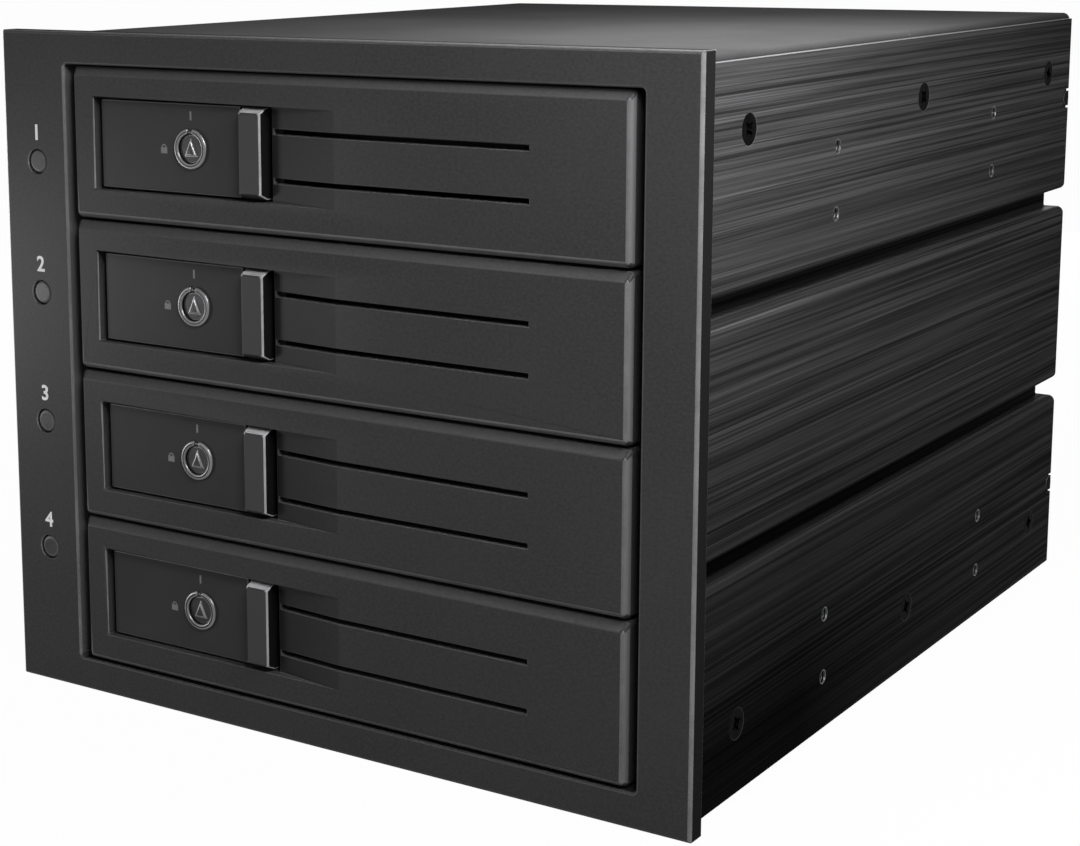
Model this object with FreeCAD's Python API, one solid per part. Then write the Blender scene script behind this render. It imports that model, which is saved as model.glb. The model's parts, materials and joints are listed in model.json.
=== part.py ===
import FreeCAD, Part

import math
import os

from FreeCAD import Vector

# Hot swap drive cage: four slide-in trays for 3.5 inch drives in a case that fills three 5.25 inch bays.
# +X is to the right seen from the front, +Y runs to the back and +Z is up, in millimetres. The origin is
# the middle of the bottom of the overall box. Every piece is drawn with y measured back from the front
# face of the bezel, and save() moves it into the frame.

# ---------------------------------------------------------------- sizes
bays = 4
bay_pitch = 28.9
seam = 0.3                  # between pieces that lie side by side
running_gap = 0.05          # round pins, shafts and screws

# drive and tray frame
drive_width = 101.6
drive_length = 147.0
drive_front = 16.0
drive_side_play = 0.4
drive_screw = 1.8
drive_bottom_hole_spacing = 95.25
drive_side_holes = (28.5, 130.1)    # from the drive's rear end
drive_bottom_holes = (41.28, 117.48)
drive_hole_height = 6.35
sheet = 1.0                 # tray frames, lid, base and rear panel
frame_drop = 1.0            # tray frame floor above the foot of its cell
frame_height = 20.0
frame_tail_gap = 7.0        # tray frame to backplane
frame_bend = 1.0            # centreline radius
frame_slot = 3.6            # width of the air slots
floor_slot_count = 10
floor_slot_near = 5.0
floor_slot_far = 40.0
floor_margin = 14.0
upstand_slots = 2
upstand_slot_height = 4.6   # first slot above the tray's underside
upstand_pitch = 6.0
runner_reach = 5.0
runner_start = 11.0         # runners start this far behind the upstand
runner_play = 0.3
runner_side_play = 0.6

# tray front
tray_gap = 2.0              # to the sides of the bezel's opening
tray_split = 0.5            # one tray front to the next
front_side_room = 3.95      # opening's edge beyond the runners
front_plate = 2.5
front_depth = 12.0
front_rim = 1.6
front_corner = 0.8
front_bevel_depth = 1.2
front_bevel_top = 1.6
front_bevel_side = 0.7
tray_post = 2.4
tray_post_drop = 8.5        # screw posts below the middle of the front
tray_post_rise = 1.0
tray_post_room = 1.0
upstand_drop = 2.0          # upstand below the runners

# handle and its well
well_left = 5.2             # from the tray front's left edge
well_length = 40.8
well_height = 17.2
well_wall = 1.5
well_floor = 1.2
well_gap = 0.4              # above and below the handle
hinge_gap = 1.0             # left of the handle
handle_depth = 1.2          # handle face behind the tray face
handle_thickness = 2.4
knuckle_radius = 2.1
knuckle_sink = 1.6          # pin behind the handle's face
pin_radius = 1.0
ridge_width = 5.0
ridge_rise = 0.9            # in front of the tray face
ridge_slope = 1.0
ridge_round = 0.5
ridge_groove = 0.9
ridge_clear = 1.0           # between the ridge and the finger scoop
scoop_depth = 1.3
scoop_length = 14.4
nose_height = 5.0
nose_thickness = 2.0
nose_play = 0.7
spring_leaf = 0.3
spring_width = 5.0
spring_length = 9.66
spring_start = 5.0          # from the pin

# vent slots in the tray front
vent_height = 0.9
vent_length = 52.9
vent_spacing = 8.7
vent_start = 0.5            # from the well
vent_drop = 0.3

# key lock in the handle
lock_offset = 27.7          # from the tray front's left edge
collar_radius = 3.9
collar_rise = 0.6
collar_sleeve = 3.3
collar_notch = 1.0
barrel_radius = 2.65
barrel_sink = 0.2
arrow_size = 1.5            # half its height
arrow_rise = 0.35
cam_width = 4.0
cam_thickness = 1.2
cam_gap = 0.3
arrow_half = 1.2

# front bezel
bezel_overhang = 1.0        # beyond the case at each side
bezel_thickness = 4.0
bezel_edge = 0.4            # chamfer round the front
opening_shift = 2.75        # the opening sits this far right of centre, beside the column of lamps
opening_bottom = 6.3
opening_top_margin = 6.1
opening_bevel = 0.25
sleeve_wall = 1.4
sleeve_depth = 7.0
sleeve_room = 2.1           # sleeve to the side plate's channels
lug_size = 10.0
lug_wall = 5.0
lug_length = 21.0

# case
case_bottom = 2.1           # above the bezel's lower edge
case_top_drop = 1.1         # below the bezel's upper edge
wall = 1.2                  # extruded side plates
side_bend = 0.8             # centreline radius of their corners
side_rear = 2.2             # they stop this far short of the rear
groove_height = 4.0
groove_depth = 4.4
groove_rises = (40.8, 84.0) # channel centres above the case's underside
lid_flange = 15.6           # height of the lid's and the base's folded sides
lid_rise = 1.1              # lid above the side plates
rear_room = 12.0            # backplane's front to the case's rear
panel_flange = 7.0          # rear panel's folded sides
panel_corner = 2.0
tab_inset = 18.6            # tabs of the rear panel, from the case's top and underside
tab_height = 3.2
tab_length = 3.1
tab_play = 0.5

# 5.25 inch device mounting holes in the sides
device_height = 42.33
device_hole_radius = 1.25
device_hole_front = 54.3
device_hole_spacing = 79.25
device_hole_rise = 10.0
device_hole_rows = 11.84

# screws
screw_radius = 1.5          # countersunk case screws
screw_head_radius = 2.7
screw_head_height = 1.2
screw_length = 6.0
screw_end_room = 0.5
side_screw_front = 18.5
side_screw_middle = 94.4
side_screw_rear = 16.7      # from the case's rear
side_screw_inset = 12.4     # from the case's top and underside
small_screw = 1.2           # clearance radius of the pan head screws
small_shank = 1.0
small_head = 2.3
small_head_height = 1.4
small_grip = 3.5            # thread inside the piece that holds it

# guide frames
guide_gap = 2.0             # behind the bezel's lugs
guide_wall = 2.0
guide_flange = 4.0
ledge = 1.6
ledge_lead = 3.0
boss_radius = 4.0
window_columns = 4
window_rib = 8.0
window_foot = 4.0
window_head = 2.0

# backplane
board_thickness = 1.6
board_side_gap = 1.4
board_bottom_gap = 4.4
board_top_gap = 5.4
board_window_columns = 2
board_window_rib = 8.0
board_window_corner = 1.5
board_window_margin = 4.0
socket_length = 42.7
socket_height = 6.5
socket_depth = 9.0
socket_offset = 17.4        # right of the drive's middle
socket_wall = 1.6
socket_well = 5.5
socket_key = 2.0
socket_key_offset = 5.2
socket_rise = 0.5           # above the tray's floor
data_socket = (6.0, 8.5, 16.6)
data_socket_gap = 3.5
data_socket_wall = 1.3
data_tongue = 1.2
power_socket = (10.0, 14.0, 24.0)
power_socket_gap = 6.0
power_socket_wall = 1.2
power_socket_corner = 2.0
power_pin_pitch = 5.08
power_pin_radius = 1.05
socket_floor = 2.5
column_inset = 10.5         # rear sockets stand in two columns, this far in from the board's ends
column_play = 2.0
post_radius = 2.5
post_inset = 5.0            # from the board's top and bottom edges
board_screw_inset = 14.0
capacitor_radius = 3.15
capacitor_length = 7.0
capacitor_count = 5
capacitor_pitch = 15.0
capacitor_inset = 5.5

# rear panel's air slots
panel_slot_count = 9
panel_slot_pitch = 11.0
panel_slot_length = 8.0
panel_slot_height = 3.0
panel_slot_inset = 9.0

# fan
fan_size = 80.0
fan_depth = 25.0
fan_hole_spacing = 71.5
fan_corner = 5.0
fan_duct_radius = 38.2
fan_hub_radius = 16.5
fan_blades = 7
blade_tip_gap = 1.0
blade_root_chord = 15.0
blade_root_pitch = 42.0     # degrees from the fan's plane
blade_root_camber = 1.6
blade_tip_chord = 25.0
blade_tip_pitch = 27.0
blade_tip_camber = 3.0
blade_thickness = 0.7
blade_edge = 0.25
motor_base = 2.0
strut_count = 4
strut_width = 4.0
strut_depth = 3.0
bearing_radius = 3.2
bearing_length = 13.0
bearing_wall = 1.2
shaft_radius = 1.5
shaft_end_gap = 1.0
hub_front = 3.0             # hub's face behind the fan's front
hub_wall = 1.6
hub_edge = 1.0
hub_rear_gap = 1.0
stator_gap = 4.0
stator_length = 8.0
stator_ring = 2.0
stator_air = 1.2
stator_poles = 4
stator_pole_width = 5.2
fan_screw_radius = 2.1
fan_screw_head = 3.6
fan_screw_head_height = 2.0
fan_screw_grip = 8.0
fan_screw_play = 0.2

# lamps beside the bays
lamp_first = 27.4
lamp_pitch = 25.27
lamp_radius = 2.3
lamp_shift = 0.45           # from the middle of the column beside the opening
lamp_collar = 0.7
lamp_collar_length = 1.2
lamp_sink = 0.2             # light pipe behind the bezel's face
lamp_board_depth = 12.0
lamp_board_half = 4.2
lamp_board_margin = 4.5
lamp_thickness = 0.9
lamp_size = (3.2, 2.8)
lamp_screw_room = 0.4

# ---------------------------------------------------------------- worked out
frame_half = drive_width / 2 + drive_side_play + sheet
opening_width = 2 * (frame_half + runner_reach + front_side_room)
opening_left = opening_shift - opening_width / 2
opening_right = opening_shift + opening_width / 2
opening_top = opening_bottom + bays * bay_pitch
side_face = opening_right + sleeve_wall + sleeve_room + groove_depth + wall
side_inner = side_face - wall
flange_inner = side_inner - sheet
groove_inner = side_inner - groove_depth
bezel_half = side_face + bezel_overhang
bezel_height = opening_top + opening_top_margin

guide_front = bezel_thickness + lug_length + guide_gap
guide_rear = drive_front + drive_length + socket_depth
guide_face = frame_half + runner_reach + runner_side_play
board_rear = guide_rear + board_thickness
case_depth = guide_rear + rear_room
case_top = bezel_height - case_top_drop
rear_panel_front = case_depth - sheet
side_end = case_depth - side_rear
groove_centres = [case_bottom + rise for rise in groove_rises]
tab_heights = (case_bottom + tab_inset, case_top - tab_inset)
side_screw_depths = (side_screw_front, side_screw_middle, case_depth - side_screw_rear)
side_screw_heights = (case_bottom + side_screw_inset, case_top - side_screw_inset)
device_row_heights = [case_bottom + device_hole_rise + n * device_height for n in (0, 2)]

tray_left = opening_left + tray_gap
tray_right = opening_right - tray_gap
frame_tail = guide_rear - frame_tail_gap
well_x = tray_left + well_left
well_right = well_x + well_length
well_depth = front_depth - well_floor
pin_x = well_x + hinge_gap + knuckle_radius
pin_y = handle_depth + knuckle_sink
handle_right = well_right - ridge_clear
handle_back = handle_depth + handle_thickness
handle_half = well_height / 2 - well_gap
nose_window = nose_height + 2 * nose_play
lock_x = tray_left + lock_offset
cam_reach = handle_half - cam_gap

board_half_width = groove_inner - board_side_gap
board_bottom = case_bottom + board_bottom_gap
board_top = case_top - board_top_gap
column_x = board_half_width - column_inset
fan_height = (case_bottom + case_top) / 2
lamp_x = (opening_left - bezel_half) / 2 + lamp_shift
lamp_heights = [lamp_first + n * lamp_pitch for n in range(bays)]

overall_depth = ridge_rise + case_depth + fan_depth
face_y = ridge_rise - overall_depth / 2


# ---------------------------------------------------------------- drawing tools
def block(x0, x1, y0, y1, z0, z1):
    return Part.makeBox(x1 - x0, y1 - y0, z1 - z0, Vector(x0, y0, z0))


def rod(radius, start, end):
    start = Vector(*start)
    line = Vector(*end) - start
    return Part.makeCylinder(radius, line.Length, start, line)


def cone(radius0, radius1, start, end):
    start = Vector(*start)
    line = Vector(*end) - start
    return Part.makeCone(radius0, radius1, line.Length, start, line)


def prism(points, travel):
    """Closed outline of (x, y, z) points, pushed along travel."""
    ring = [Vector(*p) for p in points]
    return Part.Face(Part.makePolygon(ring + ring[:1])).extrude(Vector(*travel))


def rounded_ring(x0, x1, z0, z1, radius, y):
    """Rectangle with rounded corners in the plane at y."""
    r = radius
    k = r * (1 - math.sqrt(0.5))
    at = lambda x, z: Vector(x, y, z)
    line = lambda a, b: Part.LineSegment(at(*a), at(*b)).toShape()
    arc = lambda a, m, b: Part.Arc(at(*a), at(*m), at(*b)).toShape()
    return Part.Wire([
        line((x0 + r, z0), (x1 - r, z0)),
        arc((x1 - r, z0), (x1 - k, z0 + k), (x1, z0 + r)),
        line((x1, z0 + r), (x1, z1 - r)),
        arc((x1, z1 - r), (x1 - k, z1 - k), (x1 - r, z1)),
        line((x1 - r, z1), (x0 + r, z1)),
        arc((x0 + r, z1), (x0 + k, z1 - k), (x0, z1 - r)),
        line((x0, z1 - r), (x0, z0 + r)),
        arc((x0, z0 + r), (x0 + k, z0 + k), (x0 + r, z0)),
    ])


def rounded_block(x0, x1, z0, z1, radius, y0, y1):
    return Part.Face(rounded_ring(x0, x1, z0, z1, radius, y0)).extrude(Vector(0, y1 - y0, 0))


def strip(path, thickness, radius, length):
    """Sheet bent along path, a list of (x, z) centreline corners, and pushed back by length."""
    points = [Vector(x, 0, z) for x, z in path]
    runs = [(b - a).normalize() for a, b in zip(points, points[1:])]
    left = [Vector(-d.z, 0, d.x) for d in runs]
    chains = []
    for offset in (thickness / 2, -thickness / 2):
        edges = []
        here = points[0] + left[0] * offset
        for i in range(1, len(points) - 1):
            turn = 1 if left[i - 1].dot(runs[i]) > 0 else -1
            reach = radius * math.tan(runs[i - 1].getAngle(runs[i]) / 2)
            start = points[i] - runs[i - 1] * reach
            centre = start + left[i - 1] * radius * turn
            outward = (points[i] - centre).normalize()
            a = start + left[i - 1] * offset
            b = points[i] + runs[i] * reach + left[i] * offset
            middle = centre + outward * (radius - turn * offset)
            edges.append(Part.LineSegment(here, a).toShape())
            edges.append(Part.Arc(a, middle, b).toShape())
            here = b
        last = points[-1] + left[-1] * offset
        edges.append(Part.LineSegment(here, last).toShape())
        chains.append((points[0] + left[0] * offset, edges, last))
    (a0, first, a1), (b0, second, b1) = chains
    ends = [Part.LineSegment(a1, b1).toShape(), Part.LineSegment(b0, a0).toShape()]
    outline = Part.Wire(Part.__sortEdges__(first + second + ends))
    return Part.Face(outline).extrude(Vector(0, length, 0))


def fuse(first, *others):
    return first.multiFuse(list(others)).removeSplitter() if others else first


def cut(shape, *tools):
    return shape.cut(list(tools))


def front_edges(shape, y):
    return [e for e in shape.Edges if all(abs(v.Y - y) < 1e-6 for v in e.Vertexes)]


def save(name, *pieces):
    """Writes one sub-part. Pieces that don't touch stay separate solids of one node."""
    shape = pieces[0] if len(pieces) == 1 else Part.makeCompound(list(pieces))
    shape = shape.copy()
    shape.translate(Vector(0, face_y, 0))
    shape.exportStep("parts/" + name + ".step")


def mirrored(shape):
    return shape.mirror(Vector(0, 0, 0), Vector(1, 0, 0))


def cell_bottom(bay):
    """Foot of a bay's cell. Bay 1 is at the top."""
    return opening_bottom + (bays - bay) * bay_pitch


# ---------------------------------------------------------------- case
def side_screw_places():
    return [(depth, height) for height in side_screw_heights for depth in side_screw_depths]


def device_hole_places():
    return [(device_hole_front + i * device_hole_spacing, row + j * device_hole_rows)
            for row in device_row_heights for i in (0, 1) for j in (0, 1)]


def countersink(depth, height):
    """Hole for a case screw in the right side plate."""
    sink = side_face - screw_head_height
    return fuse(cone(screw_head_radius, screw_radius, (side_face, depth, height), (sink, depth, height)),
                rod(screw_radius, (sink, depth, height), (side_face - screw_length, depth, height)))


def device_holes(face):
    return [rod(device_hole_radius, (face + 1, d, h), (face - 3 * wall, d, h)) for d, h in device_hole_places()]


def side_plate():
    """Right side: an extrusion with two channels for the chassis's support tabs."""
    x_wall = side_face - wall / 2
    x_floor = x_wall - groove_depth
    path = [(x_wall, case_bottom)]
    for centre in groove_centres:
        half = (groove_height + wall) / 2
        path += [(x_wall, centre - half), (x_floor, centre - half),
                 (x_floor, centre + half), (x_wall, centre + half)]
    path.append((x_wall, case_top - lid_rise))
    plate = strip(path, wall, side_bend, side_end - bezel_thickness)
    plate.translate(Vector(0, bezel_thickness, 0))
    tools = [countersink(depth, height) for depth, height in side_screw_places()] + device_holes(side_face)
    for z in tab_heights:
        tools.append(tab_outline(z, tab_play, side_end + 1, side_face - 2 * wall, side_face + 1))
    return cut(plate, *tools)


def tab_outline(z, play, rear, x0, x1):
    """Tab or slot with a rounded front end, between two x planes."""
    half = tab_height / 2 + play
    front = side_end - tab_length - play
    nose = rod(half, (x0, front + half, z), (x1, front + half, z))
    return fuse(nose, block(x0, x1, front + half, rear, z - half, z + half))


def case_cover(skin, flange_end, bottom):
    """Lid or base: folded sheet whose sides lie inside the side plates."""
    edge = side_inner - sheet / 2
    flat = skin + sheet / 2 if bottom else skin - sheet / 2
    cover = strip([(-edge, flange_end), (-edge, flat), (edge, flat), (edge, flange_end)],
                  sheet, sheet, case_depth - bezel_thickness)
    cover.translate(Vector(0, bezel_thickness, 0))
    tools = device_holes(side_inner) + [mirrored(hole) for hole in device_holes(side_inner)]
    for side in (1, -1):
        tools += [rod(screw_radius, (side * (side_inner + 1), d, h), (side * (flange_inner - 1), d, h))
                  for d, h in side_screw_places()]
    notch = skin + 2 * sheet if bottom else skin - 2 * sheet
    tools.append(block(-side_face, side_face, case_depth - panel_flange - seam, case_depth + 1,
                       min(notch, flange_end), max(notch, flange_end)))
    return cut(cover, *tools)


def lid():
    return case_cover(case_top, case_top - lid_flange, False)


def base():
    return case_cover(case_bottom, case_bottom + lid_flange, True)


def case_screws():
    """Six countersunk screws in each side."""
    made = []
    r0, r1 = screw_head_radius - running_gap, screw_radius - running_gap
    for side in (1, -1):
        face = side * side_face
        for d, h in side_screw_places():
            neck = (face - side * screw_head_height, d, h)
            made.append(fuse(cone(r0, r1, (face, d, h), neck),
                             rod(r1, neck, (face - side * screw_length, d, h))))
    return made


# ---------------------------------------------------------------- front bezel
def front_bezel():
    slab = block(-bezel_half, bezel_half, 0, bezel_thickness, 0, bezel_height)
    slab = slab.makeChamfer(bezel_edge, front_edges(slab, 0))
    back = bezel_thickness + sleeve_depth
    w = sleeve_wall
    sleeve = block(opening_left - w, opening_right + w, bezel_thickness, back, opening_bottom - w, opening_top + w)
    parts = [sleeve]
    for side in (1, -1):
        for height in side_screw_heights:
            inner = side * (flange_inner - lug_wall)
            outer = side * flange_inner
            parts.append(block(min(inner, outer), max(inner, outer), bezel_thickness, bezel_thickness + lug_length,
                               height - lug_size / 2, height + lug_size / 2))
    for height in lamp_board_screws():
        parts.append(rod(post_radius, (lamp_x, bezel_thickness, height), (lamp_x, lamp_board_depth, height)))
    bezel = fuse(slab, *parts)
    b = opening_bevel
    flare = Part.makeLoft([
        rounded_ring(opening_left - b, opening_right + b, opening_bottom - b, opening_top + b, front_corner + b, 0),
        rounded_ring(opening_left, opening_right, opening_bottom, opening_top, front_corner, b)], True, True)
    hole = rounded_block(opening_left, opening_right, opening_bottom, opening_top, front_corner, b / 2, back + 1)
    tools = [flare, hole]
    for z in lamp_heights:
        tools.append(rod(lamp_radius + running_gap, (lamp_x, -1, z), (lamp_x, bezel_thickness + 1, z)))
    for z in lamp_board_screws():
        tools.append(rod(small_shank, (lamp_x, lamp_board_depth - small_grip - 1, z),
                         (lamp_x, lamp_board_depth + 1, z)))
    for side in (1, -1):
        for height in side_screw_heights:
            tools.append(screw_bore(side, side_screw_front, height))
    for bay in range(1, bays + 1):
        z = cell_bottom(bay) + bay_pitch / 2
        tools.append(block(opening_left - 2 * w, opening_left + w, bezel_thickness, back - w,
                           z - nose_window / 2, z + nose_window / 2))
    return cut(bezel, *tools)


def screw_bore(side, depth, height):
    """Hole for a case screw's tip in a lug or boss inside the case."""
    return rod(screw_radius, (side * side_face, depth, height),
               (side * (side_face - screw_length - screw_end_room), depth, height))


def groove_zone(centre):
    """Heights that a channel of the side plates takes up inside the case."""
    half = groove_height / 2 + wall + lamp_screw_room
    return centre - half, centre + half


def lamp_board_screws():
    low, high = groove_zone(groove_centres[0])[0], groove_zone(groove_centres[1])[1]
    return (lamp_heights[0] + low) / 2, (lamp_heights[-1] + high) / 2


# ---------------------------------------------------------------- guide frames
def guide_frame(side):
    """Moulded frame with a pair of ledges for each tray's runner. side is 1 on the right and -1 on the left."""
    def x(distance):
        return opening_shift + side * distance
    def bar(a, b, y0, y1, z0, z1):
        return block(min(a, b), max(a, b), y0, y1, z0, z1)
    low = case_bottom + 2 * sheet + seam
    high = case_top - 2 * sheet - seam
    parts = []
    body = bar(x(guide_face), x(guide_face + guide_wall), guide_front, guide_rear, low, high)
    tip = x(frame_half + runner_side_play)
    for bay in range(1, bays + 1):
        runner = cell_bottom(bay) + frame_drop + frame_height - sheet
        for z0, z1 in ((runner - runner_play - ledge, runner - runner_play),
                       (runner + sheet + runner_play, runner + sheet + runner_play + ledge)):
            root = x(guide_face)
            parts.append(prism([(root, guide_front, z0), (tip, guide_front + ledge_lead, z0), (tip, guide_rear - 1, z0),
                                (root, guide_rear - 1, z0)], (0, 0, z1 - z0)))
    rear_edge = side * board_half_width
    parts.append(bar(x(guide_face), rear_edge, guide_rear - guide_flange, guide_rear, low, high))
    for depth in side_screw_depths[1:]:
        for height in side_screw_heights:
            parts.append(rod(boss_radius, (x(guide_face + guide_wall / 2), depth, height),
                             (side * flange_inner, depth, height)))
    for post_x, post_z in post_places(side):
        parts.append(rod(post_radius, (post_x, guide_rear - 1, post_z), (post_x, rear_panel_front, post_z)))
    frame = fuse(body, *parts)
    tools = []
    for depth in side_screw_depths[1:]:
        for height in side_screw_heights:
            tools.append(screw_bore(side, depth, height))
    for px, pz in board_screw_places(side):
        tools.append(rod(small_shank, (px, guide_rear - small_grip, pz), (px, guide_rear + 1, pz)))
    for px, pz in post_places(side):
        tools.append(rod(small_shank, (px, rear_panel_front - small_grip - 1, pz), (px, rear_panel_front + 1, pz)))
    tools += guide_windows(x, bar)
    return cut(frame, *tools)


def guide_windows(x, bar):
    """Lightening windows through the guide wall, under each pair of ledges."""
    span = guide_rear - guide_flange - guide_front
    length = (span - window_rib * (window_columns + 1)) / window_columns
    made = []
    for bay in range(1, bays + 1):
        z0 = cell_bottom(bay) + frame_drop + window_foot
        z1 = cell_bottom(bay) + frame_drop + frame_height - sheet - runner_play - ledge - window_head
        for i in range(window_columns):
            y0 = guide_front + window_rib + i * (length + window_rib)
            if not near_boss(y0, y0 + length, z0, z1):
                made.append(bar(x(guide_face - guide_wall / 2), x(guide_face + 2 * guide_wall), y0, y0 + length, z0, z1))
    return made


def near_boss(y0, y1, z0, z1):
    r = boss_radius + 1
    return any(y0 - r < d < y1 + r and z0 - r < h < z1 + r for d in side_screw_depths[1:] for h in side_screw_heights)


def flange_middle(side):
    inner = opening_shift + side * (guide_face + guide_wall / 2)
    return (inner + side * board_half_width) / 2


def post_places(side):
    return [(flange_middle(side), z) for z in (board_bottom + post_inset, board_top - post_inset)]


def board_screw_places(side):
    return [(flange_middle(side), z) for z in (board_bottom + board_screw_inset, board_top - board_screw_inset)]


# ---------------------------------------------------------------- backplane
def bay_socket_z(bay):
    return cell_bottom(bay) + frame_drop + sheet + socket_rise


def backplane_board():
    board = block(-board_half_width, board_half_width, guide_rear, board_rear, board_bottom, board_top)
    tools = []
    left = opening_shift - frame_half + board_window_margin
    right = opening_shift + frame_half - board_window_margin
    rib = board_window_rib
    width = (right - left - rib * (board_window_columns - 1)) / board_window_columns
    for bay in range(1, bays + 1):
        z0 = bay_socket_z(bay) + socket_height + board_window_corner
        z1 = min(cell_bottom(bay) + bay_pitch, board_top - 2 * post_inset)
        for i in range(board_window_columns):
            x0 = left + i * (width + rib)
            tools.append(rounded_block(x0, x0 + width, z0, z1, board_window_corner,
                                       guide_rear - 1, board_rear + 1))
    for side in (1, -1):
        for px, pz in post_places(side):
            tools.append(rod(post_radius + running_gap, (px, guide_rear - 1, pz), (px, board_rear + 1, pz)))
        for px, pz in board_screw_places(side):
            tools.append(rod(small_screw + running_gap, (px, guide_rear - 1, pz), (px, board_rear + 1, pz)))
    return cut(board, *tools)


def pan_screw(x, y, z, held):
    """Pan head screw: its head lies behind y, and its shank runs forward through a piece as thick as held."""
    head = rod(small_head, (x, y, z), (x, y + small_head_height, z))
    shank = rod(small_shank, (x, y, z), (x, y - held - small_grip + screw_end_room, z))
    return fuse(head, shank)


def drive_socket(bay):
    """22-pin receptacle: a shroud with a slot for the drive's tongue and an L key between its two halves."""
    cx = opening_shift + socket_offset
    z0 = bay_socket_z(bay)
    front = guide_rear - socket_depth
    left, right = cx - socket_length / 2, cx + socket_length / 2
    body = block(left, right, front, guide_rear, z0, z0 + socket_height)
    key = cx + socket_key_offset
    slots = [block(x0, x1, front - 1, front + socket_well, z0 + socket_wall, z0 + socket_height - socket_wall)
             for x0, x1 in ((left + socket_wall, key - socket_key / 2), (key + socket_key / 2, right - socket_wall))]
    return cut(body, *slots)


def data_sockets():
    """Vertical 7-pin headers on the back of the board, one for each bay."""
    width, depth, height = data_socket
    x, w = -column_x, data_socket_wall
    made = []
    for bay in range(1, bays + 1):
        z = fan_height + (bays / 2 + 0.5 - bay) * (height + data_socket_gap)
        body = block(x - width / 2, x + width / 2, board_rear, board_rear + depth, z - height / 2, z + height / 2)
        well = block(x - width / 2 + w, x + width / 2 - w, board_rear + socket_floor, board_rear + depth + 1,
                     z - height / 2 + w, z + height / 2 - w)
        tongue = block(x - data_tongue / 2, x + data_tongue / 2, board_rear + socket_floor / 2,
                       board_rear + depth - w, z - height / 2 + 2 * w, z + height / 2 - 2 * w)
        made.append(fuse(cut(body, well), tongue))
    return made


def power_socket_places():
    return [(column_x, fan_height + side * (power_socket[2] + power_socket_gap) / 2) for side in (1, -1)]


def chamfered_socket(x, z, width, height, corner, y0, y1):
    """Box with its two left corners cut off."""
    w, h = width / 2, height / 2
    return prism([(x + w, y0, z - h), (x + w, y0, z + h), (x - w + corner, y0, z + h), (x - w, y0, z + h - corner),
                  (x - w, y0, z - h + corner), (x - w + corner, y0, z - h)], (0, y1 - y0, 0))


def power_sockets():
    width, depth, height = power_socket
    w = power_socket_wall
    made = []
    for x, z in power_socket_places():
        body = chamfered_socket(x, z, width, height, power_socket_corner, board_rear, board_rear + depth)
        well = chamfered_socket(x, z, width - 2 * w, height - 2 * w, power_socket_corner, board_rear + socket_floor,
                                board_rear + depth + 1)
        made.append(cut(body, well))
    return made


def power_pins():
    made = []
    for x, z in power_socket_places():
        for i in range(4):
            pin_z = z + (i - 1.5) * power_pin_pitch
            made.append(rod(power_pin_radius, (x, board_rear + socket_floor, pin_z),
                            (x, board_rear + power_socket[1] - column_play, pin_z)))
    return made


def board_capacitors():
    """Smoothing capacitors on the back of the board, above the fan opening."""
    z = board_top - capacitor_inset
    places = [(i - (capacitor_count - 1) / 2) * capacitor_pitch for i in range(capacitor_count)]
    return [rod(capacitor_radius, (x, board_rear, z), (x, board_rear + capacitor_length, z)) for x in places]


def board_screws():
    made = []
    for side in (1, -1):
        for x, z in board_screw_places(side):
            made.append(pan_screw(x, board_rear, z, board_thickness))
    for z in lamp_board_screws():
        made.append(pan_screw(lamp_x, lamp_board_depth + board_thickness, z, board_thickness))
    return made


# ---------------------------------------------------------------- rear panel and fan
def fan_hole_places():
    half = fan_hole_spacing / 2
    return [(sx * half, fan_height + sz * half) for sx in (1, -1) for sz in (1, -1)]


def rear_panel():
    low = case_bottom + sheet + seam
    high = case_top - sheet - seam
    corner = panel_corner
    panel = rounded_block(-side_inner, side_inner, low, high, corner, rear_panel_front, case_depth)
    parts = []
    for side in (1, -1):
        inner, outer, tip = side * flange_inner, side * side_inner, side * side_face
        parts.append(block(min(inner, outer), max(inner, outer), case_depth - panel_flange, case_depth,
                           low + corner, high - corner))
        for z in tab_heights:
            parts.append(tab_outline(z, 0, side_end, min(inner, tip), max(inner, tip)))
    panel = fuse(panel, *parts)
    tools = [rod(fan_duct_radius, (0, rear_panel_front - 1, fan_height), (0, case_depth + 1, fan_height))]
    for x, z in fan_hole_places():
        tools.append(rod(fan_screw_radius + fan_screw_play, (x, rear_panel_front - 1, z), (x, case_depth + 1, z)))
    for side in (1, -1):
        for x, z in post_places(side):
            tools.append(rod(small_screw, (x, rear_panel_front - 1, z), (x, case_depth + 1, z)))
        for centre in groove_centres:
            z0, z1 = groove_zone(centre)
            inner, outer = side * (groove_inner - seam), side * (side_face + 1)
            tools.append(block(min(inner, outer), max(inner, outer), case_depth - 2 * panel_flange, case_depth + 1,
                               z0, z1))
    data_half = bays * (data_socket[2] + data_socket_gap) / 2
    power_half = power_socket[2] + power_socket_gap / 2 + column_play
    for x, half_width, half_height in ((-column_x, data_socket[0] / 2 + column_play, data_half),
                                       (column_x, power_socket[0] / 2 + column_play, power_half)):
        tools.append(rounded_block(x - half_width, x + half_width, fan_height - half_height, fan_height + half_height,
                                   panel_corner, rear_panel_front - 1, case_depth + 1))
    for z in (low + panel_slot_inset, high - panel_slot_inset):
        for i in range(panel_slot_count):
            x = (i - (panel_slot_count - 1) / 2) * panel_slot_pitch - panel_slot_length / 2
            tools.append(rounded_block(x, x + panel_slot_length, z - panel_slot_height / 2, z + panel_slot_height / 2,
                                       panel_slot_height / 2 - running_gap, rear_panel_front - 1, case_depth + 1))
    return cut(panel, *tools)


def rear_panel_screws():
    return [pan_screw(x, case_depth, z, sheet) for side in (1, -1) for x, z in post_places(side)]


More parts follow.
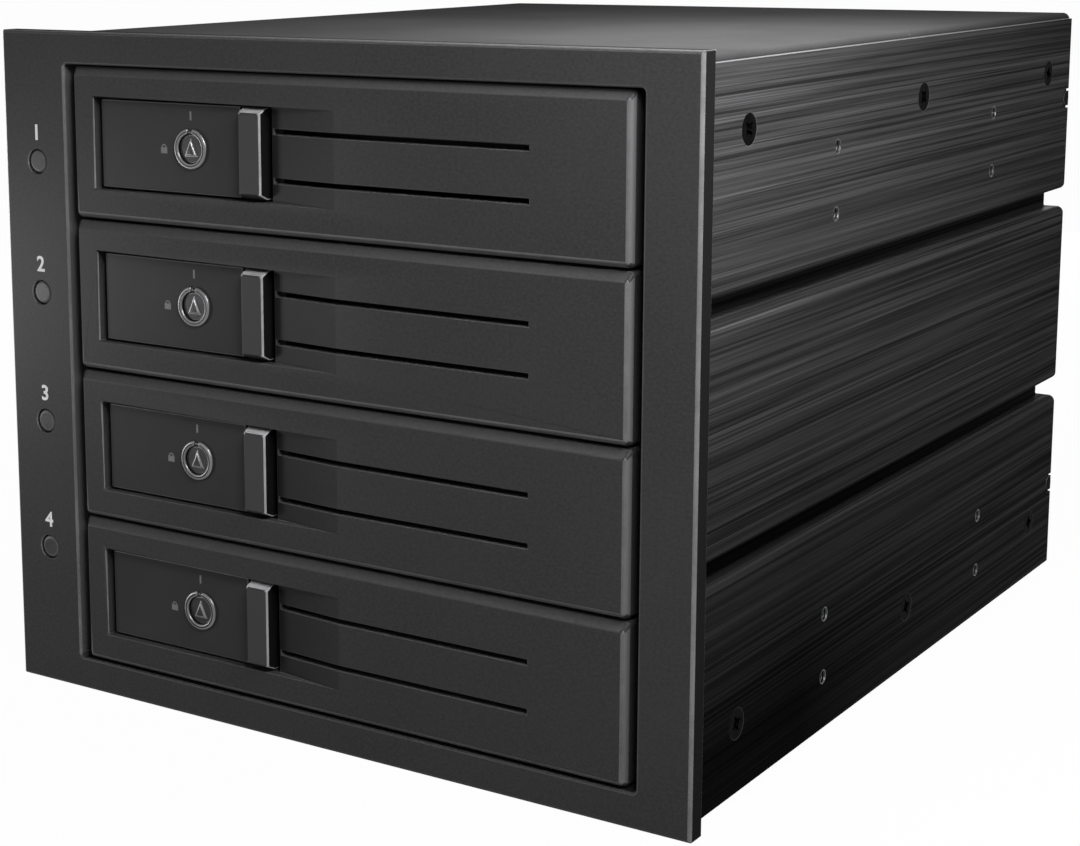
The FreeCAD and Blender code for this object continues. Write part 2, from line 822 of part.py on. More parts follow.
def fan_screws():
    """Self-tapping screws from inside the rear panel into the fan's corners."""
    made = []
    for x, z in fan_hole_places():
        made.append(fuse(rod(fan_screw_head, (x, rear_panel_front - fan_screw_head_height, z), (x, rear_panel_front, z)),
                         rod(fan_screw_radius, (x, rear_panel_front - 1, z), (x, case_depth + fan_screw_grip, z))))
    return made


def fan_frame():
    half = fan_size / 2
    front = case_depth
    rear = case_depth + fan_depth
    z = fan_height
    body = rounded_block(-half, half, z - half, z + half, fan_corner, front, rear)
    tools = [rod(fan_duct_radius, (0, front - 1, z), (0, rear + 1, z))]
    for x, hz in fan_hole_places():
        tools.append(rod(fan_screw_radius + running_gap, (x, front - 1, hz), (x, rear + 1, hz)))
    body = cut(body, *tools)
    base = rod(fan_hub_radius, (0, rear - motor_base, z), (0, rear, z))
    tube = rod(bearing_radius + bearing_wall, (0, rear - motor_base - bearing_length, z), (0, rear, z))
    struts = []
    for i in range(strut_count):
        strut = block(fan_hub_radius - 1, (fan_duct_radius + half) / 2, rear - strut_depth, rear,
                      z - strut_width / 2, z + strut_width / 2)
        strut.rotate(Vector(0, 0, z), Vector(0, 1, 0), (i + 0.5) * 360 / strut_count)
        struts.append(strut)
    body = fuse(body, base, tube, *struts)
    bore = rod(bearing_radius, (0, rear - motor_base - bearing_length - 1, z), (0, rear - motor_base, z))
    return cut(body, bore)


def fan_bearing():
    rear = case_depth + fan_depth - motor_base
    start = rear - bearing_length
    ring = rod(bearing_radius, (0, start, fan_height), (0, rear, fan_height))
    return cut(ring, rod(shaft_radius + running_gap, (0, start - 1, fan_height), (0, rear + 1, fan_height)))


def fan_shaft():
    front = case_depth + hub_front + hub_wall
    rear = case_depth + fan_depth - motor_base - shaft_end_gap
    return rod(shaft_radius, (0, front, fan_height), (0, rear, fan_height))


def fan_stator():
    """Wound core round the bearing tube."""
    inner = bearing_radius + bearing_wall + running_gap
    outer = fan_hub_radius - hub_wall - stator_air
    y0 = case_depth + hub_front + hub_wall + stator_gap
    y1 = y0 + stator_length
    ring = rod(inner + stator_ring, (0, y0, fan_height), (0, y1, fan_height))
    poles = []
    for i in range(stator_poles):
        pole = block(inner + stator_ring / 2, outer, y0, y1,
                     fan_height - stator_pole_width / 2, fan_height + stator_pole_width / 2)
        pole.rotate(Vector(0, 0, fan_height), Vector(0, 1, 0), (i + 0.5) * 360 / stator_poles)
        poles.append(pole)
    core = fuse(ring, *poles)
    return cut(core, rod(inner, (0, y0 - 1, fan_height), (0, y1 + 1, fan_height)))


def blade_section(radius, chord, pitch, camber, y_mid):
    """Curved blade outline at this radius, square to it."""
    c, s = math.cos(math.radians(pitch)), math.sin(math.radians(pitch))
    def place(along, across):
        return Vector(radius, y_mid + along * s - across * c, fan_height + along * c + across * s)
    half, edge, t = chord / 2, blade_edge, blade_thickness
    upper = Part.Arc(place(-half, edge), place(0, camber + t), place(half, edge)).toShape()
    lower = Part.Arc(place(half, -edge), place(0, camber - t), place(-half, -edge)).toShape()
    tail = Part.LineSegment(place(half, edge), place(half, -edge)).toShape()
    nose = Part.LineSegment(place(-half, -edge), place(-half, edge)).toShape()
    return Part.Wire([upper, tail, lower, nose])


def fan_rotor():
    front = case_depth + hub_front
    rear = case_depth + fan_depth - motor_base - hub_rear_gap
    z = fan_height
    hub = rod(fan_hub_radius, (0, front, z), (0, rear, z))
    hub = hub.makeChamfer(hub_edge, [e for e in hub.Edges if abs(e.CenterOfMass.y - front) < 1e-6])
    y_mid = (front + rear) / 2
    tip = fan_duct_radius - blade_tip_gap
    blades = []
    for i in range(fan_blades):
        root = blade_section(fan_hub_radius - hub_wall / 2, blade_root_chord, blade_root_pitch, blade_root_camber, y_mid)
        end = blade_section(tip, blade_tip_chord, blade_tip_pitch, blade_tip_camber, y_mid)
        blade = Part.makeLoft([root, end], True, True)
        blade.rotate(Vector(0, 0, z), Vector(0, 1, 0), 360.0 * i / fan_blades)
        blades.append(blade)
    trim = rod(tip, (0, case_depth, z), (0, case_depth + fan_depth, z))
    wheel = fuse(hub, *[b.common(trim) for b in blades])
    hollow = rod(fan_hub_radius - hub_wall, (0, front + hub_wall, z), (0, rear + 1, z))
    return cut(wheel, hollow)


# ---------------------------------------------------------------- lamps
def lamp_board():
    low = lamp_heights[0] - lamp_board_margin
    high = lamp_heights[-1] + lamp_board_margin
    rear = lamp_board_depth + board_thickness
    board = block(lamp_x - lamp_board_half, lamp_x + lamp_board_half, lamp_board_depth, rear, low, high)
    tools = [rod(small_screw, (lamp_x, lamp_board_depth - 1, z), (lamp_x, rear + 1, z)) for z in lamp_board_screws()]
    for centre in groove_centres:
        z0, z1 = groove_zone(centre)
        tools.append(block(-side_face, lamp_screw_room - groove_inner, lamp_board_depth - 1, rear + 1, z0, z1))
    return cut(board, *tools)


def lamps():
    width, height = lamp_size
    return [block(lamp_x - width / 2, lamp_x + width / 2, lamp_board_depth - lamp_thickness, lamp_board_depth,
                  z - height / 2, z + height / 2) for z in lamp_heights]


def light_pipes():
    """Clear rods from the lamps to the bezel's face, with a collar behind the bezel."""
    made = []
    rear = lamp_board_depth - lamp_thickness
    collar = bezel_thickness + lamp_collar_length
    for z in lamp_heights:
        made.append(fuse(rod(lamp_radius, (lamp_x, lamp_sink, z), (lamp_x, rear, z)),
                         rod(lamp_radius + lamp_collar, (lamp_x, bezel_thickness, z), (lamp_x, collar, z))))
    return made


# ---------------------------------------------------------------- trays
def tray_front(bay):
    """Moulded tray front: bevelled panel, rim, handle well, finger scoop and vent slots."""
    z0 = cell_bottom(bay) + tray_split / 2
    z1 = cell_bottom(bay) + bay_pitch - tray_split / 2
    middle = cell_bottom(bay) + bay_pitch / 2
    b = front_bevel_side
    bevel = Part.makeLoft([
        rounded_ring(tray_left + b, tray_right - b, z0 + b, z1 - front_bevel_top, front_corner / 2, 0),
        rounded_ring(tray_left, tray_right, z0, z1, front_corner, front_bevel_depth)], True, True)
    shell = fuse(bevel, rounded_block(tray_left, tray_right, z0, z1, front_corner, front_bevel_depth, front_depth))
    shell = cut(shell, block(tray_left + front_rim, tray_right - front_rim, front_plate, front_depth + 1,
                             z0 + front_rim, z1 - front_rim))
    half = well_height / 2
    box = block(well_x - well_wall, well_right + well_wall, front_bevel_depth, front_depth,
                middle - half - well_wall, middle + half + well_wall)
    posts = [rod(tray_post, (x, front_bevel_depth, z), (x, front_depth, z)) for x, z in tray_screw_places(bay)]
    shell = fuse(shell, box, *posts)
    tools = [block(well_x, well_right, -1, well_depth, middle - half, middle + half)]
    tools.append(prism([(well_right - well_wall, -1, middle - half), (well_right - well_wall, scoop_depth, middle - half),
                        (well_right, scoop_depth, middle - half), (well_right + scoop_length, 0, middle - half),
                        (well_right + scoop_length, -1, middle - half)], (0, 0, well_height)))
    for offset in (vent_spacing / 2, -vent_spacing / 2):
        vent = middle - vent_drop + offset
        vent_left = well_right + vent_start
        tools.append(block(vent_left, vent_left + vent_length, -1, front_plate + seam,
                           vent - vent_height / 2, vent + vent_height / 2))
    tools.append(rod(pin_radius, (pin_x, pin_y, middle - half - well_wall - 1),
                     (pin_x, pin_y, middle + half + well_wall + 1)))
    tools.append(block(tray_left - 1, pin_x + nose_thickness + nose_play, front_plate, front_depth + 1,
                       middle - nose_window / 2, middle + nose_window / 2))
    for x, z in tray_screw_places(bay):
        tools.append(rod(small_shank, (x, front_depth - small_grip - 1, z), (x, front_depth + 1, z)))
    return cut(shell, *tools)


def tray_screw_places(bay):
    middle = cell_bottom(bay) + bay_pitch / 2
    near = well_right + well_wall + tray_post + tray_post_room
    far = opening_shift + frame_half - sheet - tray_post - tray_post_room
    low = middle - tray_post_drop
    return [(near, low), (far, low), (far, middle + tray_post_rise)]


def tray_frame(bay):
    """Folded tray: floor, two sides, out-turned runners and an upstand that the tray front is screwed to."""
    z0 = cell_bottom(bay) + frame_drop
    s = sheet / 2
    x_side = frame_half - s
    top = z0 + frame_height - s
    path = [(-frame_half - runner_reach, top), (-x_side, top), (-x_side, z0 + s),
            (x_side, z0 + s), (x_side, top), (frame_half + runner_reach, top)]
    frame = strip([(opening_shift + x, z) for x, z in path], sheet, frame_bend, frame_tail - front_depth)
    frame.translate(Vector(0, front_depth, 0))
    inner = frame_half - sheet
    upstand = block(opening_shift - inner - s, opening_shift + inner + s, front_depth, front_depth + sheet,
                    z0 + s, z0 + frame_height - upstand_drop)
    frame = fuse(frame, upstand)
    tools = []
    for side in (1, -1):
        near, far = sorted((opening_shift + side * frame_half, opening_shift + side * (frame_half + 2 * runner_reach)))
        tools.append(block(near, far, front_depth - 1, front_depth + runner_start, top - sheet, top + sheet))
    for hole in drive_side_holes:
        depth = drive_front + drive_length - hole
        height = z0 + sheet + drive_hole_height
        tools.append(rod(drive_screw, (opening_shift - frame_half - 1, depth, height),
                         (opening_shift + frame_half + 1, depth, height)))
    for x, y in drive_hole_places():
        tools.append(rod(drive_screw, (x, y, z0 - 1), (x, y, z0 + sheet + 1)))
    for x, z in tray_screw_places(bay):
        tools.append(rod(small_screw, (x, front_depth - 1, z), (x, front_depth + sheet + 1, z)))
    (left, _), (right, _), _ = tray_screw_places(bay)
    for i in range(upstand_slots):
        z = z0 + upstand_slot_height + i * upstand_pitch
        tools.append(block(left + 2 * tray_post, right - 2 * tray_post, front_depth - 1, front_depth + sheet + 1,
                           z, z + frame_slot))
    tools += floor_slots(z0)
    return cut(frame, *tools)


def drive_hole_places():
    return [(opening_shift + side * drive_bottom_hole_spacing / 2, drive_front + drive_length - hole)
            for side in (1, -1) for hole in drive_bottom_holes]


def floor_slots(z0):
    """Two columns of air slots across the tray floor."""
    made = []
    first = drive_front + floor_margin
    pitch = (drive_length - 2 * floor_margin) / floor_slot_count
    for i in range(floor_slot_count):
        y = first + i * pitch
        for near, far in ((-floor_slot_far, -floor_slot_near), (floor_slot_near, floor_slot_far)):
            made.append(block(opening_shift + near, opening_shift + far, y, y + frame_slot, z0 - 1, z0 + sheet + 1))
    return made


def tray_screws(bay):
    return [pan_screw(x, front_depth + sheet, z, sheet) for x, z in tray_screw_places(bay)]


def handle(bay):
    """Pull handle: plate, ridge for the finger, knuckle round the pin and the latch nose."""
    middle = cell_bottom(bay) + bay_pitch / 2
    low, high = middle - handle_half, middle + handle_half
    plate = block(pin_x - knuckle_radius, handle_right, handle_depth, handle_back, low, high)
    knuckle = rod(knuckle_radius, (pin_x, pin_y, low), (pin_x, pin_y, high))
    ridge_left = handle_right - ridge_width
    s = ridge_slope
    foot = handle_depth + handle_thickness / 2
    ridge = prism([(ridge_left, foot, low), (ridge_left, handle_depth, low), (ridge_left, -ridge_rise, low + s),
                   (ridge_left, -ridge_rise, high - s), (ridge_left, handle_depth, high), (ridge_left, foot, high)],
                  (ridge_width, 0, 0))
    ridge = ridge.makeFillet(ridge_round, front_edges(ridge, -ridge_rise))
    nose = block(tray_left, pin_x, pin_y, pin_y + nose_thickness,
                 middle - nose_height / 2, middle + nose_height / 2)
    body = cut(fuse(plate, knuckle), block(tray_left, pin_x, -1, handle_depth, low, high))
    body = fuse(body, ridge, nose)
    groove = block(ridge_left - ridge_groove, ridge_left, handle_depth - 1, handle_depth + ridge_groove, low - 1, high + 1)
    bore = rod(pin_radius + running_gap, (pin_x, pin_y, low - 1), (pin_x, pin_y, high + 1))
    seat = rod(collar_sleeve, (lock_x, handle_depth - 1, middle), (lock_x, handle_back + 1, middle))
    return cut(body, groove, bore, seat)


def handle_pin(bay):
    middle = cell_bottom(bay) + bay_pitch / 2
    reach = well_height / 2 + well_wall
    return rod(pin_radius, (pin_x, pin_y, middle - reach), (pin_x, pin_y, middle + reach))


def handle_spring(bay):
    """Leaf spring on the floor of the well, bowed forward to the back of the handle."""
    middle = cell_bottom(bay) + bay_pitch / 2
    foot = well_depth
    crest = handle_back + seam
    x0 = pin_x + spring_start
    x1 = x0 + spring_length
    xm = (x0 + x1) / 2
    t = spring_leaf
    outer = Part.Arc(Vector(x0, foot, 0), Vector(xm, crest, 0), Vector(x1, foot, 0)).toShape()
    inner = Part.Arc(Vector(x1 - t, foot, 0), Vector(xm, crest + t, 0), Vector(x0 + t, foot, 0)).toShape()
    ends = [Part.LineSegment(Vector(x1, foot, 0), Vector(x1 - t, foot, 0)).toShape(),
            Part.LineSegment(Vector(x0 + t, foot, 0), Vector(x0, foot, 0)).toShape()]
    leaf = Part.Face(Part.Wire([outer, ends[0], inner, ends[1]])).extrude(Vector(0, 0, spring_width))
    leaf.translate(Vector(0, 0, middle - spring_width / 2))
    return leaf


def lock_collar(bay):
    """Ring round the key lock, with an index notch at the top."""
    z = cell_bottom(bay) + bay_pitch / 2
    front = handle_depth - collar_rise
    ring = cone(collar_radius - collar_rise / 2, collar_radius, (lock_x, front, z), (lock_x, handle_depth, z))
    sleeve = rod(collar_sleeve, (lock_x, front, z), (lock_x, handle_back, z))
    bore = rod(barrel_radius + running_gap, (lock_x, front - 1, z), (lock_x, handle_back + 1, z))
    half = collar_notch / 2
    notch = block(lock_x - half, lock_x + half, front - 1, handle_depth, z, z + collar_radius + 1)
    return cut(fuse(ring, sleeve), bore, notch)


def lock_barrel(bay):
    """Key barrel with a raised arrow, and the cam that it turns behind the handle."""
    z = cell_bottom(bay) + bay_pitch / 2
    front = handle_depth - collar_rise + barrel_sink + arrow_rise
    barrel = rod(barrel_radius, (lock_x, front, z), (lock_x, handle_back + cam_gap + cam_thickness, z))
    arrow = prism([(lock_x - arrow_half, front - arrow_rise, z - arrow_half),
                   (lock_x + arrow_half, front - arrow_rise, z - arrow_half),
                   (lock_x, front - arrow_rise, z + arrow_size)], (0, 2 * arrow_rise, 0))
    y0 = handle_back + cam_gap
    cam = block(lock_x, lock_x + cam_reach, y0, y0 + cam_thickness, z - cam_width / 2, z + cam_width / 2)
    return fuse(barrel, arrow, cam)


# ---------------------------------------------------------------- everything
def main():
    os.makedirs("parts", exist_ok=True)
    right = side_plate()
    save("side_plate_right", right)
    save("side_plate_left", mirrored(right))
    save("lid", lid())
    save("base", base())
    save("case_screws", *case_screws())
    save("front_bezel", front_bezel())
    save("guide_frame_right", guide_frame(1))
    save("guide_frame_left", guide_frame(-1))
    save("backplane_board", backplane_board())
    save("drive_sockets", *[drive_socket(bay) for bay in range(1, bays + 1)])
    save("data_sockets", *data_sockets())
    save("power_sockets", *power_sockets())
    save("power_pins", *power_pins())
    save("board_capacitors", *board_capacitors())
    save("board_screws", *board_screws())
    save("rear_panel", rear_panel())
    save("rear_panel_screws", *rear_panel_screws())
    save("fan_frame", fan_frame())
    save("fan_bearing", fan_bearing())
    save("fan_stator", fan_stator())
    save("fan_screws", *fan_screws())
    save("fan_shaft", fan_shaft())
    save("fan_rotor", fan_rotor())
    save("lamp_board", lamp_board())
    save("lamps", *lamps())
    save("light_pipes", *light_pipes())
    for bay in range(1, bays + 1):
        save(f"tray_front_{bay}", tray_front(bay))
        save(f"tray_frame_{bay}", tray_frame(bay))
        save(f"tray_screws_{bay}", *tray_screws(bay))
        save(f"handle_{bay}", handle(bay))
        save(f"handle_pin_{bay}", handle_pin(bay))
        save(f"handle_spring_{bay}", handle_spring(bay))
        save(f"lock_collar_{bay}", lock_collar(bay))
        save(f"lock_barrel_{bay}", lock_barrel(bay))


main()
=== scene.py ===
import json
import math

import bmesh
import bpy
from mathutils import Euler, Matrix, Vector

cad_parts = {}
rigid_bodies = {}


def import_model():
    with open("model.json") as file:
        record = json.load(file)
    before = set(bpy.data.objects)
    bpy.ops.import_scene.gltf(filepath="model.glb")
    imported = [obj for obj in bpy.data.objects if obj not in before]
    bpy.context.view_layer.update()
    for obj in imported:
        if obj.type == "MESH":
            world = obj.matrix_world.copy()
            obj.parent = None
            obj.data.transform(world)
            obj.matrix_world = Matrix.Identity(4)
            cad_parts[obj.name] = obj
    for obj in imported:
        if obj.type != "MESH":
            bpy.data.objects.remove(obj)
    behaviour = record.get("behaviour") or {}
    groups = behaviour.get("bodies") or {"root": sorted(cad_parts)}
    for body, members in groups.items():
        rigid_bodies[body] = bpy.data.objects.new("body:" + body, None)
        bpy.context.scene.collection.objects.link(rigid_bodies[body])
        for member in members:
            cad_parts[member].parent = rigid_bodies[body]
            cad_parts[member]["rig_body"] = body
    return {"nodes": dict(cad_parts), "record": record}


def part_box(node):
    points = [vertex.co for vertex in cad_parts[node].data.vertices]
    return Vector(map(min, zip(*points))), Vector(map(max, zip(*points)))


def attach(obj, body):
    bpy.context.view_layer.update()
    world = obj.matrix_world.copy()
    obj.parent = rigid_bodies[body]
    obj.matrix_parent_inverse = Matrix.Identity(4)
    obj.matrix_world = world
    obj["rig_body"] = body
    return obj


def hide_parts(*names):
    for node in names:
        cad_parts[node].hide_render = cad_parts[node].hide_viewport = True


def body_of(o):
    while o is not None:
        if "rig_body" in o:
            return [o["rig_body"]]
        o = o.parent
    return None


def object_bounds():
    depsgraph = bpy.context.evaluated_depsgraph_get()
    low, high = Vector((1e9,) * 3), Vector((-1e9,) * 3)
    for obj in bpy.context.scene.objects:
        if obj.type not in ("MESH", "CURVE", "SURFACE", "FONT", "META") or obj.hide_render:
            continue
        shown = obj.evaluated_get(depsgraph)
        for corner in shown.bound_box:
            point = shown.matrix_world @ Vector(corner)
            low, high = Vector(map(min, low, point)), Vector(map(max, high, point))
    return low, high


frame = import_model()
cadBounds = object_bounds()
cad = frame["nodes"]
mm = 0.001
bays = 4
mergeGap = 0.002 * mm          # corners closer than this are one
flatAngle = math.radians(0.4)  # faces that bend less than this are one
slotOf = {part["node"]: part["material_slot"] for part in frame["record"]["subparts"]}
print("frame loaded:", len(cad), "nodes")


# colours are written as they look, 0 to 255
def linear(value):
    value /= 255
    return value / 12.92 if value <= 0.04045 else ((value + 0.055) / 1.055) ** 2.4


def tone(red, green, blue):
    return (linear(red), linear(green), linear(blue), 1.0)


def grey(level):
    return tone(level, level, level * 1.012)


# a value on its way through a node tree, which adds its own maths nodes
class Signal:
    def __init__(self, graph, socket):
        self.graph = graph
        self.socket = socket

    def maths(self, operation, first, second):
        return self.graph.node("ShaderNodeMath", {"operation": operation}, {0: first, 1: second})

    def __add__(self, other):
        return self.maths("ADD", self, other)

    def __radd__(self, other):
        return self.maths("ADD", other, self)

    def __sub__(self, other):
        return self.maths("SUBTRACT", self, other)

    def __rsub__(self, other):
        return self.maths("SUBTRACT", other, self)

    def __mul__(self, other):
        return self.maths("MULTIPLY", self, other)

    def __rmul__(self, other):
        return self.maths("MULTIPLY", other, self)

    def __truediv__(self, other):
        return self.maths("DIVIDE", self, other)

    def __rtruediv__(self, other):
        return self.maths("DIVIDE", other, self)


class Graph:
    def __init__(self, tree):
        self.tree = tree

    # one node: its settings first, then the values or links of its sockets
    def node(self, kind, settings=None, sockets=None, output=0):
        made = self.tree.nodes.new(kind)
        for name, value in (settings or {}).items():
            setattr(made, name, value)
        for name, value in (sockets or {}).items():
            if isinstance(value, Signal):
                self.tree.links.new(value.socket, made.inputs[name])
            else:
                made.inputs[name].default_value = value
        return Signal(self, made.outputs[output]) if made.outputs else None

    # patterns on the object's own coordinates, stretched by a scale for each axis, in cycles per metre
    def place(self, across, along=None, up=None):
        scale = (across, across if along is None else along, across if up is None else up)
        where = self.node("ShaderNodeTexCoord", output="Object")
        return self.node("ShaderNodeMapping", None, {"Vector": where, "Scale": scale})

    # one coordinate of the place on the object, in metres
    def along(self, axis):
        return self.node("ShaderNodeSeparateXYZ", None, {"Vector": self.place(1)}, axis)

    def noise(self, where, detail=2.0, rough=0.5, skew=0.0):
        return self.node("ShaderNodeTexNoise", None, {"Vector": where, "Scale": 1.0, "Detail": detail,
                                                      "Roughness": rough, "Distortion": skew})

    def cells(self, where, feature="F1", jitter=1.0):
        return self.node("ShaderNodeTexVoronoi", {"feature": feature},
                         {"Vector": where, "Scale": 1.0, "Randomness": jitter})

    def ramp(self, value, low, high, bottom=0.0, top=1.0):
        return self.node("ShaderNodeMapRange", {"clamp": True},
                         {"Value": value, "From Min": low, "From Max": high, "To Min": bottom, "To Max": top})

    def blend(self, factor, first, second):
        return self.node("ShaderNodeMix", {"data_type": "RGBA"}, {0: factor, 6: first, 7: second}, 2)

    # a relief, its depth in mm
    def bump(self, height, depth, strength):
        return self.node("ShaderNodeBump", None, {"Height": height, "Distance": depth * mm, "Strength": strength})

    # a mark that the mesh carries, from 0 to 1
    def mark(self, name):
        return self.node("ShaderNodeAttribute", {"attribute_name": name}, output="Fac")

    # rubbed edges and painted edge highlights: the bevelled faces, broken up by a coarse pattern
    def worn(self, amount):
        edge = self.mark("worn")
        rub = self.ramp(self.noise(self.place(140), 4.0, 0.7), 0.38, 0.62)
        return edge * (0.7 + rub * 0.3) * amount

    def finish(self, **sockets):
        names = {name.replace("_", " "): value for name, value in sockets.items()}
        shader = self.node("ShaderNodeBsdfPrincipled", None, names)
        self.node("ShaderNodeOutputMaterial", None, {"Surface": shader})


finishes = {}


def emptyMaterial(name):
    material = bpy.data.materials.new(name)
    material.use_nodes = True
    material.node_tree.nodes.clear()
    return material, Graph(material.node_tree)


# registers a finish under the material slot that it covers
def finish(slot):
    def keep(build):
        finishes[slot], g = emptyMaterial(build.__name__)
        build(g)
        return build
    return keep


# bevel is painted light on lit slopes, scoop painted shade in the finger scoop, flank painted shade on faces turned
# from the light, edge a painted highlight on eased edges together with their wear
frontLook = {"face": 46, "dark": 42, "light": 51, "edge": 112, "bevel": 92, "scoop": 28, "flank": 24,
             "rough": 0.5, "gloss": 0.3, "scoopDeep": -10.4, "scoopShallow": 4.0}    # the scoop's two ends in mm


@finish("front_plastic")
def mouldedFront(g):
    cloud = g.noise(g.place(38), 3.0, 0.6)
    mottle = g.noise(g.place(1500, 1500, 1900), 3.0, 0.7)
    skin = g.cells(g.place(3200))
    body = g.blend(g.ramp(cloud, 0.35, 0.65), grey(frontLook["face"]), grey(frontLook["face"] - 3))
    body = g.blend(g.ramp(mottle, 0.4, 0.72), body, grey(frontLook["light"]))
    body = g.blend(g.ramp(mottle, 0.45, 0.25), body, grey(frontLook["dark"]))
    # painted light on the slopes that face the light
    body = g.blend(g.mark("bevel"), body, grey(frontLook["bevel"]))
    # painted shade in the finger scoop, darkest at its deep left end
    depth = g.ramp(g.along("X"), frontLook["scoopDeep"] * mm, frontLook["scoopShallow"] * mm, 1.0, 0.4)
    body = g.blend(g.mark("scoop") * depth, body, grey(frontLook["scoop"]))
    # painted shade on the bezel's sides and top and the ridge's right wall
    body = g.blend(g.mark("flank"), body, grey(frontLook["flank"]))
    # eased edges lighten: wear with painted highlights
    edgeWearAndShine = g.worn(0.8)
    colour = g.blend(edgeWearAndShine, body, grey(frontLook["edge"]))
    rough = g.ramp(mottle, 0.3, 0.7, frontLook["rough"] + 0.07, frontLook["rough"] - 0.05) - edgeWearAndShine * 0.12
    relief = g.bump(mottle * 0.6 + skin * 0.4, 0.05, 0.55)
    gloss = (1 - g.mark("flank")) * frontLook["gloss"]
    g.finish(Base_Color=colour, Roughness=rough, Normal=relief, Specular_IOR_Level=0.0,
             Coat_Weight=gloss, Coat_IOR=1.25, Coat_Roughness=0.35)


# ridge is painted light on the ridge's front face, flank painted shade on its right wall, edge a painted highlight on
# eased edges together with their wear
handleLook = {"face": 43, "light": 46, "edge": 150, "ridge": 56, "flank": 14, "rough": 0.42, "gloss": 0.3}


@finish("handle_plastic")
def mouldedHandle(g):
    cloud = g.noise(g.place(60), 3.0, 0.6)
    mottle = g.noise(g.place(1500), 3.0, 0.7)
    body = g.blend(g.ramp(cloud, 0.35, 0.65), grey(handleLook["face"]), grey(handleLook["light"]))
    # painted light on the ridge's front face
    body = g.blend(g.mark("ridge"), body, grey(handleLook["ridge"]))
    # painted shade on the ridge's right wall
    body = g.blend(g.mark("flank"), body, grey(handleLook["flank"]))
    # eased edges lighten: wear with painted highlights
    edgeWearAndShine = g.worn(0.85)
    colour = g.blend(edgeWearAndShine, body, grey(handleLook["edge"]))
    rough = g.ramp(mottle, 0.3, 0.7, handleLook["rough"] + 0.06, handleLook["rough"] - 0.06) - edgeWearAndShine * 0.1
    gloss = (1 - g.mark("flank")) * handleLook["gloss"]
    g.finish(Base_Color=colour, Roughness=rough, Normal=g.bump(mottle, 0.03, 0.4), Specular_IOR_Level=0.0,
             Coat_Weight=gloss, Coat_IOR=1.25, Coat_Roughness=0.3)


# foot is painted shade that darkens the plates towards the bottom and the front; edge lightens eased edges, as wear
# with painted highlight
brushedLook = {"dark": 33, "light": 84, "band": 52, "edge": 92, "foot": 4, "rough": 0.42,
               "footShare": 0.94, "footTop": 100, "footEnd": 12, "footBack": 90, "footFront": -60}    # places in mm


@finish("side_aluminium")
def brushedSide(g):
    fine = g.noise(g.place(3200, 9, 3200), 3.0, 0.6)
    lines = g.noise(g.place(900, 5, 1150), 5.0, 0.7)
    bands = g.noise(g.place(30, 3, 70), 3.0, 0.6)
    streak = g.ramp(lines * 0.62 + fine * 0.38, 0.42, 0.66)
    body = g.blend(streak, grey(brushedLook["dark"]), grey(brushedLook["light"]))
    body = g.blend(g.ramp(bands, 0.4, 0.68, 0.0, 0.4), body, grey(brushedLook["band"]))
    # painted shade: darker towards the bottom, and more so towards the front
    down = g.ramp(g.along("Z"), brushedLook["footTop"] * mm, brushedLook["footEnd"] * mm, 0.0, brushedLook["footShare"])
    forward = g.ramp(g.along("Y"), brushedLook["footBack"] * mm, brushedLook["footFront"] * mm, 0.3, 1.0)
    body = g.blend(down * forward, body, grey(brushedLook["foot"]))
    colour = g.blend(g.worn(0.8), body, grey(brushedLook["edge"]))
    rough = g.ramp(fine, 0.3, 0.7, brushedLook["rough"] + 0.1, brushedLook["rough"] - 0.08)
    g.finish(Base_Color=colour, Roughness=rough, Normal=g.bump(lines * 0.5 + fine * 0.5, 0.03, 0.5),
             Metallic=0.25, Specular_IOR_Level=0.0, Specular_Tint=(0.1, 0.1, 0.1, 1.0))


sheetLook = {"face": 28, "light": 34, "edge": 92, "rough": 0.42, "sheen": 0.008}


@finish("black_sheet")
def satinSheet(g):
    cloud = g.noise(g.place(22), 3.0, 0.6)
    peel = g.noise(g.place(700), 2.0, 0.5)
    specks = g.cells(g.place(260))
    colour = g.blend(g.ramp(cloud, 0.3, 0.7), grey(sheetLook["face"]), grey(sheetLook["light"]))
    colour = g.blend(g.ramp(specks, 0.06, 0.03, 0.0, 0.3), colour, grey(sheetLook["edge"]))
    colour = g.blend(g.worn(0.6), colour, grey(sheetLook["edge"]))
    rough = g.ramp(cloud, 0.3, 0.7, sheetLook["rough"] + 0.05, sheetLook["rough"] - 0.04)
    g.finish(Base_Color=colour, Roughness=rough, Normal=g.bump(peel, 0.02, 0.35),
             Specular_IOR_Level=0.0, Sheen_Weight=sheetLook["sheen"], Sheen_Roughness=0.3)


@finish("tray_steel")
def electrocoat(g):
    drift = g.noise(g.place(40, 14, 40), 4.0, 0.6)
    peel = g.noise(g.place(1100), 2.0, 0.5)
    rub = g.noise(g.place(500, 18, 500), 4.0, 0.6)
    colour = g.blend(g.ramp(drift, 0.35, 0.65), grey(30), grey(40))
    colour = g.blend(g.ramp(rub, 0.62, 0.8, 0.0, 0.5), colour, grey(74))
    colour = g.blend(g.worn(0.7), colour, grey(128))
    g.finish(Base_Color=colour, Roughness=g.ramp(drift, 0.3, 0.7, 0.36, 0.46), Normal=g.bump(peel, 0.015, 0.3),
             Specular_IOR_Level=0.3)


@finish("guide_plastic")
def guideMoulding(g):
    flow = g.noise(g.place(26, 8, 60), 4.0, 0.6, 0.6)
    skin = g.noise(g.place(1300), 2.0, 0.5)
    colour = g.blend(g.ramp(flow, 0.35, 0.65), grey(33), grey(43))
    colour = g.blend(g.worn(0.5), colour, grey(78))
    g.finish(Base_Color=colour, Roughness=g.ramp(flow, 0.3, 0.7, 0.44, 0.56), Normal=g.bump(skin, 0.03, 0.4))


